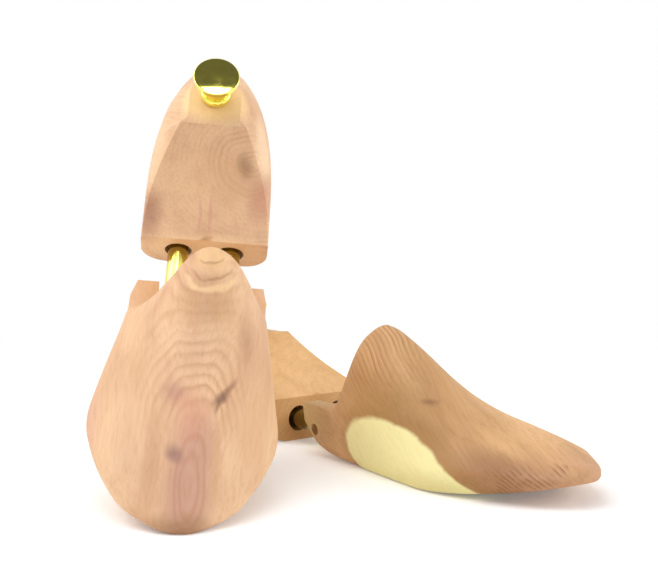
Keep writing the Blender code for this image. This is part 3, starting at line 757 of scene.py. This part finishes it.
# Marks of other colour: an ellipsoid's centre and reach in millimetres, the share of its reach at which it
# starts to fade, its colour or None for sapwood, its strength, and its turn in degrees where it has one
RIGHT_FOREPART_MARKS = (
    # The first three are painted shade on the outer flank, from the hump down to the toe, where the standing
    # tree shades it
    ((66, -35, 34), (54, 27, 34), 0.3, (158, 116, 40), 0.42),
    ((100, -30, 22), (50, 16, 18), 0.2, (160, 112, 68), 0.32),
    ((132, -30, 10), (34, 23, 19), 0.3, (146, 94, 60), 0.62),
    ((150, 0, 12), (34, 45, 16), 0.2, (192, 138, 112), 0.40),
    # Painted shade low on the ear's outer side
    ((10, -32, 13), (28, 7, 18), 0.4, (150, 112, 58), 0.40),
    ((4, -26, 20), (18, 14, 12), 0.5, (202, 170, 104), 0.50),
    ((99.8, -40, -13.5), (79, 66, 33.5), 0.86, (166, 122, 60), 0.40, (0, 29, 0)),
    ((99.8, -40, -13.5), (70.2, 60, 26.5), 0.94, None, 1.0, (0, 29, 0)),
    ((96, -34, 4), (30, 12, 7), 0.2, (226, 208, 142), 0.50),
    ((79, -18, 33.5), (8, 6, 1.6), 0.1, (128, 88, 52), 0.60, (0, 12, 0)),
)
LEFT_FOREPART_MARKS = (
    ((58, 4, 52), (18, 24, 16), 0.2, (196, 142, 94), 0.45),
    ((40, 6, 64), (14, 20, 9), 0.3, (255, 210, 152), 0.60),
    ((47, 6, 54.5), (14, 18, 1.6), 0.3, (255, 216, 164), 0.75),
    ((42, 6, 61.2), (9, 10, 0.6), 0.3, (182, 132, 90), 0.50),
    ((44, 6, 57.2), (12, 14, 0.8), 0.3, (178, 128, 88), 0.60),
    ((64, 22, 38), (20, 7, 14), 0.1, (186, 136, 98), 0.50),
    ((80, -22, 27), (24, 7, 10), 0.1, (204, 156, 112), 0.40),
    ((88.5, 16.9, 31.5), (10.5, 1.9, 6), 0.1, (158, 108, 78), 0.75, (0, 24, -28)),
    ((95, 13.6, 29.8), (7.5, 3.2, 6), 0.1, (124, 82, 66), 0.80, (0, 20, -34)),
    ((99.5, 12.6, 28), (5.5, 1.3, 6), 0.1, (146, 98, 78), 0.65, (0, 20, -10)),
    ((95, -5.5, 30.5), (12, 8, 6), 0.1, (186, 128, 112), 0.60, (0, 0, 20)),
    ((124, -3, 23), (7.5, 5, 6), 0.1, (140, 96, 92), 0.65, (0, 0, 30)),
    ((157, 2, 12), (12, 26, 10), 0.2, (172, 128, 90), 0.60),
    ((122, -12, 20), (36, 5, 14), 0.3, (204, 154, 112), 0.50),
    ((128, 13, 20), (30, 3, 14), 0.3, (210, 160, 118), 0.45),
    ((100, -42, 10), (45, 9, 16), 0.2, (220, 164, 144), 0.55),
    ((112, -23.5, 20), (40, 9, 12), 0.2, (226, 182, 142), 0.60),
    ((104, 2, 27), (22, 12, 10), 0.2, (222, 150, 120), 0.42),
    ((12, -25, 24), (24, 10, 16), 0.4, (222, 168, 120), 0.55),
    ((106, 27, 20), (40, 8, 12), 0.2, (224, 174, 130), 0.55),
)
LEFT_HEEL_MARKS = (
    # Painted light: a paler front face, which faces down and lies in shade
    ((1, 0, 14), (8, 36, 18), 0.5, (255, 216, 170), 0.70),
    ((-26, 0, 34), (24, 26, 14), 0.5, (246, 202, 156), 0.30),
    # Pale wood on the landing and on both bevels: partly sapwood tone, partly painted light in place of light
    # from above and the sides
    ((-62, 0, 50), (14, 30, 8), 0.5, (255, 214, 158), 0.90),
    ((-46, -27.5, 34), (30, 9, 16), 0.3, (242, 200, 158), 0.75),
    ((-50, 26.5, 36), (30, 9, 16), 0.3, (255, 220, 182), 0.75),
    ((-12, -27, 24), (18, 10, 12), 0.1, (164, 108, 88), 0.65),
    ((-20, 25.5, 29), (18, 9, 12), 0.1, (210, 146, 120), 0.60),
    ((-34, 16.5, 39), (10, 6, 10), 0.1, (150, 108, 76), 0.55, (0, 0, 20)),
    ((-10, -3, 27), (16, 1.5, 6), 0.2, (222, 158, 138), 0.55),
    ((-12, 2, 27), (18, 1.2, 6), 0.2, (222, 158, 138), 0.55),
)


def hump_lines(n, here):
    """The lying tree's rings show most on the hump."""
    hump = n.spot(here, (0.042, -0.014, 0.060), (0.040, 0.034, 0.030))
    return n.math("ADD", hump, 0.10, clamp=True)


def upper_swirl(n, here):
    """The standing heel's rings show round the knot high on its inner side."""
    knot = n.spot(here, (-0.034, 0.014, 0.040), (0.020, 0.020, 0.020), inside=0.4)
    return n.math("ADD", knot, 0.22, clamp=True)


def arches(n, here):
    """The standing tree's rings show over the hump and round the heart, and fade towards both sides."""
    where = n.node("ShaderNodeSeparateXYZ", {"Vector": here}).outputs
    centred = n.range(n.math("ABSOLUTE", where["Y"]), 0.012, 0.028, 1.0, 0.08)
    high = n.range(where["X"], 0.098, 0.116, 1.0, 0.22)
    heart = n.spot(here, (0.134, 0.004, 0.020), (0.036, 0.0105, 0.018))
    return n.math("MULTIPLY", centred, n.math("MAXIMUM", high, heart))


def toe_lines(n, here):
    """A mark of short, close, broken lines low on the lying toe's outer side and at its front edge."""
    across = n.math("DIVIDE", n.vector("DOT_PRODUCT", here, (0.43, 0.38, 0.82)), 0.0017)
    phase = n.math("ADD", across, n.math("MULTIPLY", n.noise(here, 50.0), 2.2))
    line = n.ramp(n.math("FRACT", phase), CRISP_LINE)
    broken = n.range(n.noise(here, 130.0), 0.40, 0.58)
    side = n.spot(here, (0.141, -0.026, 0.009), (0.024, 0.017, 0.011), inside=0.45)
    edge = n.spot(here, (0.151, -0.012, 0.0165), (0.010, 0.011, 0.0045), inside=0.4)
    mask = n.math("MULTIPLY", n.math("MULTIPLY", line, broken), n.math("MAXIMUM", side, edge))
    return mask, srgb(138, 88, 52), 0.85


def grain_turn(*direction):
    """The turn that points the x axis this way."""
    return Vector(direction).to_track_quat("X", "Z").to_euler()


BARREL_GRAIN = {"pith": (0.03, 0, 0.02), "turn": (0, 0, math.radians(88)), "ring_step": 0.0020}
# Each piece's grain: a point of its pith line, the line's turn, and how its rings and marks look
GRAINS = {
    "right_forepart": {
        "pith": (0.094, 0.038, 0.076),
        "turn": grain_turn(0.84, -0.30, -0.45),
        "ring_step": 0.0022,
        "line_mask": hump_lines,
        "line_strength": 1.0,
        "line_colour": srgb(150, 100, 56),
        "marks": RIGHT_FOREPART_MARKS,
        "close_lines": toe_lines,
    },
    "left_forepart": {
        "pith": (0.136, 0.0037, 0.0192),
        "turn": grain_turn(1.0, 0.0, -0.07),
        "ring_step": 0.0024,
        "along": 0.20,
        "heart": True,
        "line_mask": arches,
        "line_strength": 0.55,
        "line_shape": SOFT_LINE,
        "line_colour": srgb(192, 128, 88),
        "marks": LEFT_FOREPART_MARKS,
    },
    "right_heel": {
        "pith": (-0.05, 0.03, -0.045),
        "turn": grain_turn(1.0, 0.12, 0.05),
        "ring_step": 0.0030,
        "tones": (srgb(240, 196, 140), srgb(212, 160, 100)),
    },
    "left_heel": {
        "pith": (-0.034, 0.021, 0.040),
        "turn": grain_turn(0.60, 0.35, 0.85),
        "ring_step": 0.0026,
        "line_mask": upper_swirl,
        "line_strength": 0.75,
        "line_shape": SOFT_LINE,
        "line_colour": srgb(170, 122, 88),
        "marks": LEFT_HEEL_MARKS,
    },
    "right_barrel": BARREL_GRAIN,
    "left_barrel": BARREL_GRAIN,
}


def marked(n, here, table, sapwood):
    """Each mark of a table as its mask, its colour and its strength, with an uneven outline."""
    moved = n.swayed(here, here, *MARK_SWAY)
    made = []
    for centre, reach, inside, shade, amount, *turn in table:
        centre, reach = ([value / 1000 for value in triple] for triple in (centre, reach))
        turn = [math.radians(angle) for angle in (turn[0] if turn else (0, 0, 0))]
        made.append((n.spot(moved, centre, reach, turn, inside), srgb(*shade) if shade else sapwood, amount))
    return made


def wood(name, place, finish, bores=()):
    """Sanded cedar. Growth rings run round the pith line, which points along the turned x axis."""
    look, prefix = GRAINS[name], name.split("_")[0]
    own = [getattr(finish, f"{prefix}_{kind}")[:] for kind in ("light", "dark")]
    light, dark = look.get("tones", own)
    n = Nodes(bpy.data.materials.new(f"{name}_cedar"))
    here = n.place(place)
    grain = n.mapped(n.swayed(n.swayed(here, here, *SWAY), here, *FINE_SWAY), look["pith"], look["turn"])
    reach = n.vector("LENGTH", n.vector("MULTIPLY", grain, (look.get("along", 0.0), 1.0, 1.0)))
    uneven = n.noise(n.vector("MULTIPLY", grain, (0.15, 1.0, 1.0)), 60.0, 1.0)
    phase = n.math("ADD", n.math("DIVIDE", reach, look["ring_step"]), n.math("MULTIPLY", uneven, 2.4))
    line = n.ramp(n.math("FRACT", phase), look.get("line_shape", CRISP_LINE))
    ring = {"W": n.math("FLOOR", phase)}
    year = n.node("ShaderNodeTexWhiteNoise", ring, noise_dimensions="1D").outputs["Value"]
    line = n.math("MULTIPLY", line, n.range(year, 0.0, 1.0, 0.35, 1.2, smooth=False))
    fibres, streaks, bands = (n.streaks(grain, *kind) for kind in (FIBRES, STREAKS, BANDS))
    tone = n.blend(n.range(bands, 0.35, 0.68, 0.0, 0.55), light, dark)
    tone = n.blend(n.range(streaks, 0.42, 0.72, 0.0, 0.30), tone, dark)
    if "heart" in look:
        core = n.range(n.math("ADD", reach, n.math("MULTIPLY", bands, 0.006)), *HEART_REACH, 1.0, 0.0)
        tone = n.blend(n.math("MULTIPLY", core, 0.75), tone, finish.heart[:])
    strength = n.range(n.noise(here, 22.0), 0.35, 0.65, 0.35, 1.0)
    if "line_mask" in look:
        strength = n.math("MULTIPLY", strength, look["line_mask"](n, here))
    lines = n.math("MULTIPLY", line, strength)
    shown = n.math("MULTIPLY", lines, look.get("line_strength", 0.5))
    tone = n.blend(shown, tone, look.get("line_colour", dark))
    tone = n.blend(n.range(fibres, 0.45, 0.75, 0.0, 0.22), tone, dark)
    marks = marked(n, here, look["marks"], finish.sapwood[:]) if "marks" in look else []
    if "close_lines" in look:
        marks.append(look["close_lines"](n, here))
    # Painted shade inside the given holes
    marks += [(n.spot(here, centre, radii, inside=0.95), BORE_PAINTED_SHADE, BORE_SHADE_STRENGTH) for centre, radii in bores]
    for mask, shade, amount in marks:
        tone = n.blend(n.math("MULTIPLY", mask, amount), tone, shade)
    tone = n.blend(n.range(fibres, 0.40, 0.75, 0.0, 0.45), tone, (0.90, 0.86, 0.80), kind="MULTIPLY")
    height = n.math("ADD", n.math("MULTIPLY", fibres, 0.6), n.math("MULTIPLY", lines, -0.35))
    surface = {"Base Color": tone, "Roughness": n.range(fibres, 0.3, 0.7, 0.50, 0.62)}
    surface |= {"Specular IOR Level": 0.32, "Normal": n.bump(height, 0.35, 0.00025)}
    n.fill("Principled BSDF", surface)
    return n.owner


def brass(name, place, finish, rough, mouth_shade=None):
    """Bright lacquered brass, faint turning and finger marks, and on the tubes painted shade where they slide
    in.
    """
    n = Nodes(bpy.data.materials.new(f"{name}_finish"))
    here = n.place(place)
    smudge = n.noise(here, 160.0, 3.0, 0.6)
    dim = [channel * 0.72 for channel in finish.brass]
    tone = n.blend(n.range(smudge, 0.4, 0.8, 0.0, 0.25), finish.brass[:], dim)
    if mouth_shade:
        # Painted shade: darker towards the heel block's mouth, where the tube lies in shade
        shade, near, far = mouth_shade
        along = n.node("ShaderNodeSeparateXYZ", {"Vector": here}).outputs["X"]
        close = n.math("ABSOLUTE", n.math("SUBTRACT", along, MOUTH_AT))
        tone = n.blend(n.range(close, near, far, 0.85, 0.0), tone, shade)
    surface = {"Base Color": tone, "Metallic": 1.0, "Coat Weight": 0.5}
    surface |= {"Roughness": n.range(smudge, 0.3, 0.75, *rough)}
    surface |= {"Normal": n.bump(n.streaks(here, *SCRATCHES), 0.02, 0.0001)}
    n.fill("Principled BSDF", surface)
    return n.owner


def steel(name, place, finish):
    """Drawn steel wire and pins, a little dull."""
    n = Nodes(bpy.data.materials.new(f"{name}_finish"))
    dull = n.noise(n.place(place), 420.0, 4.0, 0.6)
    tone = n.blend(dull, finish.steel[:], [channel * 0.55 for channel in finish.steel])
    surface = {"Base Color": tone, "Metallic": 1.0, "Roughness": n.range(dull, 0.3, 0.7, 0.28, 0.5)}
    n.fill("Principled BSDF", surface | {"Normal": n.bump(dull, 0.1, 0.0001)})
    return n.owner


class SHOETREE_OT_foreparts(bpy.types.Operator):
    """Shape the two foreparts, each with its slot and its pin hole"""

    bl_idname = "shoe_tree.foreparts"
    bl_label = "Foreparts"

    def execute(self, context):
        fore = context.scene.shoe_tree_forepart
        reach, bore = fore.shoulder_width, PIN_RADIUS + CLEARANCE
        half_slot = BARREL_WIDTH / 2 + CLEARANCE
        slot_front = PIN_AT + BARREL_RADIUS + CLEARANCE
        slot_top = PIN_HEIGHT + BARREL_RADIUS + SLOT_HEADROOM
        recess_from = fore.shoulder_width / 2 - PIN_RECESS
        hole = ((-reach, PIN_RECESS_RADIUS), (-recess_from, bore), (recess_from, PIN_RECESS_RADIUS))
        pin = (PIN_AT, 0, PIN_HEIGHT)
        # The pin's recess gets painted shade
        recess = (pin, (PIN_RECESS_RADIUS, 1.0, PIN_RECESS_RADIUS))
        for prefix, side, place, _, _ in trees():
            rings = []
            for k in range(FOREPART_ROWS):
                x = fore.length * (1 - math.cos(math.pi * k / (FOREPART_ROWS - 1))) / 2
                rings.append(forepart_ring(fore, min(max(x, FOREPART_END), fore.length - FOREPART_END), side))
            piece = new_object(f"{prefix}_forepart_wood", skin(rings))
            slot = box((-reach, -half_slot, -reach), (slot_front, half_slot, slot_top))
            carve(piece, [slot, drill(hole, reach, "Y", pin)])
            soften(piece)
            material = wood(f"{prefix}_forepart", place, context.scene.shoe_tree_finish, [recess])
            finish_piece(piece, place, f"{prefix}_forepart", f"{prefix}_forepart", material)
        return {"FINISHED"}


class SHOETREE_OT_heel_blocks(bpy.types.Operator):
    """Shape the two heel blocks, each with its two tube bores, its stop holes and its screw hole"""

    bl_idname = "shoe_tree.heel_blocks"
    bl_label = "Heel Blocks"

    def execute(self, context):
        heel = context.scene.shoe_tree_heel
        reach = heel.length
        bore = ((-(TUBE_IN_HEEL + SPRING_ROOM), TUBE_RADIUS + CLEARANCE), (-MOUTH_DEPTH, MOUTH_RADIUS))
        stop_hole = ((-reach, STOP_PIN_RADIUS + CLEARANCE),)
        screw_hole = ((-(SCREW_IN_HEEL + CLEARANCE), SCREW_RADIUS + CLEARANCE),)
        for prefix, side, _, _, place in trees():
            rings = []
            for back in heel_backs(heel):
                inner, outer = heel_half(heel, back, 1), heel_half(heel, back, -1)
                rings.append([Vector((-back, y * side, z)) for y, z in inner + outer[-2:0:-1]])
            piece = new_object(f"{prefix}_heel_wood", skin(rings))
            shapes, mouths = [], []
            for _, y in tube_rows(side):
                shapes.append(drill(bore, reach, "X", (0, y, TUBE_HEIGHT)))
                shapes.append(drill(stop_hole, TUBE_HEIGHT, "Z", (-STOP_PIN_AT, y, 0)))
                # Each bore's mouth gets painted shade inside
                mouths.append(((0, y, TUBE_HEIGHT), (MOUTH_SHADE_REACH, MOUTH_RADIUS, MOUTH_RADIUS)))
            shapes.append(drill(screw_hole, reach, "Z", (-KNOB_AT, 0, heel.crest_height)))
            carve(piece, shapes)
            soften(piece)
            material = wood(f"{prefix}_heel", place, context.scene.shoe_tree_finish, mouths)
            finish_piece(piece, place, f"{prefix}_heel", f"{prefix}_heel_block", material, FACET_ANGLE)
        return {"FINISHED"}


class SHOETREE_OT_barrels(bpy.types.Operator):
    """Turn the two wooden hinge barrels and drill them for the pin and the tubes"""

    bl_idname = "shoe_tree.barrels"
    bl_label = "Hinge Barrels"

    def execute(self, context):
        half, reach, bow = BARREL_WIDTH / 2, 2 * BARREL_WIDTH, BARREL_EDGE * BARREL_EDGE_BOW
        profile = [(-half, 0), (-half, BARREL_RADIUS - BARREL_EDGE)]
        profile += [(-half + bow, BARREL_RADIUS - bow), (-half + BARREL_EDGE, BARREL_RADIUS)]
        profile += [(-along, radius) for along, radius in reversed(profile)]
        socket, front = ((-reach, TUBE_RADIUS + CLEARANCE),), TUBE_IN_BARREL - PIN_AT + CLEARANCE
        for prefix, side, _, place, _ in trees():
            piece = new_object(f"{prefix}_barrel_wood", turned(profile, TURNED_STEPS, "Y"))
            shapes = [drill(((-reach, PIN_RADIUS + CLEARANCE),), reach, "Y")]
            for _, y in tube_rows(side):
                shapes.append(drill(socket, front, "X", (0, y, TUBE_HEIGHT - PIN_HEIGHT)))
            carve(piece, shapes)
            material = wood(f"{prefix}_barrel", place, context.scene.shoe_tree_finish)
            finish_piece(piece, place, f"{prefix}_hinge", f"{prefix}_hinge_barrel", material)
        return {"FINISHED"}


class SHOETREE_OT_tubes(bpy.types.Operator):
    """Draw the four brass tubes, with eased mouths, pin holes and stop slots"""

    bl_idname = "shoe_tree.tubes"
    bl_label = "Brass Tubes"

    def execute(self, context):
        finish = context.scene.shoe_tree_finish
        height, reach = TUBE_HEIGHT - PIN_HEIGHT, 2 * TUBE_RADIUS
        inner, end_radius = TUBE_RADIUS - TUBE_WALL, TUBE_RADIUS - TUBE_EDGE
        front, rear = TUBE_IN_BARREL - PIN_AT, MOUTH_AT - TUBE_IN_HEEL
        profile = [(rear, inner), (rear, end_radius), (rear + TUBE_EDGE, TUBE_RADIUS)]
        profile += [(front - TUBE_EDGE, TUBE_RADIUS), (front, end_radius), (front, inner)]
        slot_half = STOP_PIN_RADIUS + CLEARANCE
        slot_rear = MOUTH_AT - STOP_PIN_AT - slot_half
        slot_front = slot_rear + TRAVEL + 2 * slot_half
        for prefix, side, _, place, _ in trees():
            for which, y in tube_rows(side):
                shape = turned(profile, TURNED_STEPS, "X", (0, y, height), ring=True)
                piece = new_object(f"{prefix}_tube_{which}_brass", shape)
                hole = drill(((-reach, PIN_RADIUS + CLEARANCE),), reach, "Y", (0, y, 0))
                slot = box((slot_rear, y - slot_half, height - reach), (slot_front, y + slot_half, height))
                carve(piece, [hole, slot])
                material = brass(f"{prefix}_tube_{which}", place, finish, TUBE_ROUGH, TUBE_PAINTED_SHADE[prefix])
                finish_piece(piece, place, f"{prefix}_hinge", f"{prefix}_tube_{which}", material)
        return {"FINISHED"}


def knob_profile(knob):
    """The knob from its screw's bore, round its foot, up its waist and round its rim to its domed top."""
    rim_top = knob.height - KNOB_DOME
    rim_low, rim_radius = rim_top - KNOB_RIM, knob.radius - KNOB_EASE
    waist_at = mix(KNOB_FOOT_HIGH, rim_low, KNOB_WAIST_SHARE)
    middle = mix(CLEARANCE, KNOB_FOOT_HIGH, KNOB_FOOT_MIDDLE)
    bore, bore_top = SCREW_RADIUS + CLEARANCE, CLEARANCE + SCREW_IN_KNOB
    profile = [(bore_top, 0), (bore_top, bore), (CLEARANCE, bore), (CLEARANCE, KNOB_FOOT - KNOB_FOOT_EDGE)]
    shares = [k / KNOB_STEPS for k in range(KNOB_STEPS + 1)]
    for share in shares:
        angle = math.pi * (share - KNOB_FOOT_FROM) / KNOB_FOOT_ARC
        reach = middle - CLEARANCE if angle < 0 else KNOB_FOOT_HIGH - middle
        radius = KNOB_FOOT - KNOB_FOOT_BULGE * (1 - math.cos(angle))
        profile.append((middle + reach * math.sin(angle), radius))
    foot_end, foot_radius = profile[-1]
    for share in shares[1:-1]:
        radius = mix(foot_radius, KNOB_WAIST, math.sin(math.pi / 2 * share))
        profile.append((mix(foot_end, waist_at, share), radius))
    for share in shares:
        flare = 1 - math.sqrt(1 - share**2)
        profile.append((mix(waist_at, rim_low, share), mix(KNOB_WAIST, rim_radius, flare)))
    angles = [math.pi / 2 * share for share in shares]
    rounds = [(KNOB_EASE * (1 - math.cos(angle)), KNOB_EASE * (1 - math.sin(angle))) for angle in angles]
    profile += [(rim_low + more, knob.radius - less) for more, less in rounds[1:]]
    profile += [(rim_top - less, knob.radius - more) for more, less in rounds]
    profile += [(knob.height - KNOB_DOME * (1 - share) ** 2, rim_radius * (1 - share)) for share in shares[1:]]
    return profile


class SHOETREE_OT_knobs(bpy.types.Operator):
    """Turn the two brass knobs"""

    bl_idname = "shoe_tree.knobs"
    bl_label = "Brass Knobs"

    def execute(self, context):
        foot = (-KNOB_AT, 0, context.scene.shoe_tree_heel.crest_height)
        profile = knob_profile(context.scene.shoe_tree_knob)
        for prefix, _, _, _, place in trees():
            piece = new_object(f"{prefix}_knob_brass", turned(profile, KNOB_TURNED_STEPS, "Z", foot))
            material = brass(f"{prefix}_knob", place, context.scene.shoe_tree_finish, KNOB_ROUGH)
            finish_piece(piece, place, f"{prefix}_heel", f"{prefix}_knob", material)
        return {"FINISHED"}


class SHOETREE_OT_small_steel(bpy.types.Operator):
    """Give the pins and the screws their steel"""

    bl_idname = "shoe_tree.small_steel"
    bl_label = "Pins and Screws"

    def execute(self, context):
        for prefix, _, _, _, place in trees():
            for name in ("hinge_pin", "knob_screw", "stop_pin_inner", "stop_pin_outer"):
                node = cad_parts[f"{prefix}_{name}"]
                node.data.materials.clear()
                node.data.materials.append(steel(f"{prefix}_{name}", place, context.scene.shoe_tree_finish))
        return {"FINISHED"}


class SHOETREE_OT_springs(bpy.types.Operator):
    """Wind the four springs at rest from the tubes' ends to the bores' ends; in the real trees they shorten as
    the heels slide
    """

    bl_idname = "shoe_tree.springs"
    bl_label = "Springs"

    def execute(self, context):
        tube_end, bore_end = -TUBE_IN_HEEL - CLEARANCE, -(TUBE_IN_HEEL + SPRING_ROOM) + CLEARANCE
        for prefix, side, _, _, place in trees():
            for which, y in tube_rows(side):
                name = f"{prefix}_spring_{which}"
                made = coil(bore_end, tube_end)
                bmesh.ops.translate(made, vec=(0, y, TUBE_HEIGHT), verts=made.verts)
                piece = new_object(f"{name}_wire", made)
                piece.data.transform(place)
                piece.data.shade_smooth()
                piece.data.materials.append(steel(name, place, context.scene.shoe_tree_finish))
                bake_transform(piece)
                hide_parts(name)
        return {"FINISHED"}


def area_light(name, location, target, width, height, power):
    data = bpy.data.lights.new(name, "AREA")
    data.shape = "RECTANGLE"
    data.size, data.size_y = width, height
    data.energy = power
    lamp = linked(name, data)
    lamp.location = location
    lamp.rotation_euler = (Vector(target) - Vector(location)).to_track_quat("-Z", "Y").to_euler()


def card(name, centre, facing, width, height, level):
    """A flat card that glows at one grey level, which only shiny surfaces see, so that it shows only in
    reflections.
    """
    made = bmesh.new()
    bmesh.ops.create_grid(made, x_segments=1, y_segments=1, size=0.5)
    bmesh.ops.scale(made, vec=(width, height, 1), verts=made.verts)
    turn = (Vector(facing) - Vector(centre)).to_track_quat("Z", "Y").to_matrix().to_4x4()
    bmesh.ops.transform(made, matrix=Matrix.Translation(centre) @ turn, verts=made.verts)
    piece = new_object(name, made)
    n = Nodes(bpy.data.materials.new(f"{name}_grey"))
    n.fill("Material Output", {"Surface": n.glow(1.0, level)})
    piece.data.materials.append(n.owner)
    for ray in ("camera", "diffuse", "transmission", "volume_scatter", "shadow"):
        setattr(piece, f"visible_{ray}", False)


def pale_floor(stage):
    """A matte floor, lifted a little where it is seen, that turns plain white away from the trees."""
    made = bmesh.new()
    bmesh.ops.create_grid(made, x_segments=1, y_segments=1, size=stage.floor_size / 2)
    floor = new_object("floor", made)
    n = Nodes(bpy.data.materials.new("floor_white"))
    here = n.node("ShaderNodeTexCoord").outputs["Object"]
    far = n.range(n.vector("LENGTH", n.vector("SUBTRACT", here, FLOOR_MIDDLE)), *FLOOR_FADE)
    seen = n.seen()
    matte = n.node("ShaderNodeBsdfDiffuse", {"Color": stage.floor[:]}).outputs[0]
    lift = n.glow(n.math("MULTIPLY", seen, FLOOR_LIFT))
    lifted = n.node("ShaderNodeAddShader", {0: matte, 1: lift}).outputs[0]
    both = n.node("ShaderNodeMixShader", {0: n.math("MULTIPLY", far, seen), 1: lifted, 2: n.glow(1.0)})
    n.fill("Material Output", {"Surface": both.outputs[0]})
    floor.data.materials.append(n.owner)


def studio_world():
    """A world that is seen as white, and lights softly all round, most from the two sides."""
    n = Nodes(bpy.data.worlds.new("studio"))
    towards = n.node("ShaderNodeTexCoord").outputs["Generated"]
    sideways = n.math("ABSOLUTE", n.vector("DOT_PRODUCT", towards, SIDEWAYS))
    level = n.math("MULTIPLY_ADD", n.math("POWER", sideways, 2.0), SIDE_LIGHT, ROUND_LIGHT)
    choice = n.node("ShaderNodeMix", {"Factor": n.seen(), "A": level, "B": 1.0})
    n.fill("Background", {"Color": (1, 1, 1), "Strength": choice.outputs["Result"]})
    return n.owner


class SHOETREE_OT_stage(bpy.types.Operator):
    """Add the camera, the pale floor and the studio light"""

    bl_idname = "shoe_tree.stage"
    bl_label = "Stage"

    def execute(self, context):
        lens = bpy.data.cameras.new("camera")
        lens.sensor_width = SENSOR_WIDTH
        lens.lens = FOCAL_PIXELS * SENSOR_WIDTH / PICTURE_WIDTH
        lens.clip_start, lens.clip_end = 0.01, 50.0
        camera = linked("camera", lens)
        camera.location = CAMERA_AT
        camera.rotation_euler = (math.radians(90 - CAMERA_DOWN), 0, math.radians(CAMERA_HEADING - 90))
        context.scene.camera = camera
        context.scene.view_settings.view_transform = "Standard"
        pale_floor(context.scene.shoe_tree_stage)
        context.scene.world = studio_world()
        for name, values in SOFTBOXES.items():
            area_light(name, *values)
        for name, values in CARDS.items():
            card(name, *values)
        return {"FINISHED"}


class SHOETREE_PT_panel(bpy.types.Panel):
    """The pair's pieces and sizes"""

    bl_label = "Shoe Trees"
    bl_idname = "SHOETREE_PT_panel"
    bl_space_type = "VIEW_3D"
    bl_region_type = "UI"
    bl_category = "Shoe Trees"

    def draw(self, context):
        for operator in OPERATORS:
            self.layout.operator(operator.bl_idname)
        for name in SETTINGS:
            group = getattr(context.scene, name)
            column = self.layout.column(heading=name.replace("_", " ").title())
            for key in group.__annotations__:
                column.prop(group, key)


OPERATORS = (
    SHOETREE_OT_foreparts,
    SHOETREE_OT_heel_blocks,
    SHOETREE_OT_barrels,
    SHOETREE_OT_tubes,
    SHOETREE_OT_knobs,
    SHOETREE_OT_small_steel,
    SHOETREE_OT_springs,
    SHOETREE_OT_stage,
)

SETTINGS = {
    "shoe_tree_forepart": ForepartSettings,
    "shoe_tree_heel": HeelSettings,
    "shoe_tree_knob": KnobSettings,
    "shoe_tree_finish": FinishSettings,
    "shoe_tree_stage": StageSettings,
}


def register():
    for group in SETTINGS.values():
        bpy.utils.register_class(group)
    for name, group in SETTINGS.items():
        setattr(bpy.types.Scene, name, PointerProperty(type=group))
    for operator in OPERATORS:
        bpy.utils.register_class(operator)
    bpy.utils.register_class(SHOETREE_PT_panel)


def unregister():
    bpy.utils.unregister_class(SHOETREE_PT_panel)
    for operator in reversed(OPERATORS):
        bpy.utils.unregister_class(operator)
    for name in SETTINGS:
        delattr(bpy.types.Scene, name)
    for group in reversed(SETTINGS.values()):
        bpy.utils.unregister_class(group)


def main():
    register()
    bpy.ops.shoe_tree.foreparts()
    bpy.ops.shoe_tree.heel_blocks()
    bpy.ops.shoe_tree.barrels()
    bpy.ops.shoe_tree.tubes()
    bpy.ops.shoe_tree.knobs()
    bpy.ops.shoe_tree.small_steel()
    bpy.ops.shoe_tree.springs()
    bpy.ops.shoe_tree.stage()


if __name__ == "__main__":
    main()
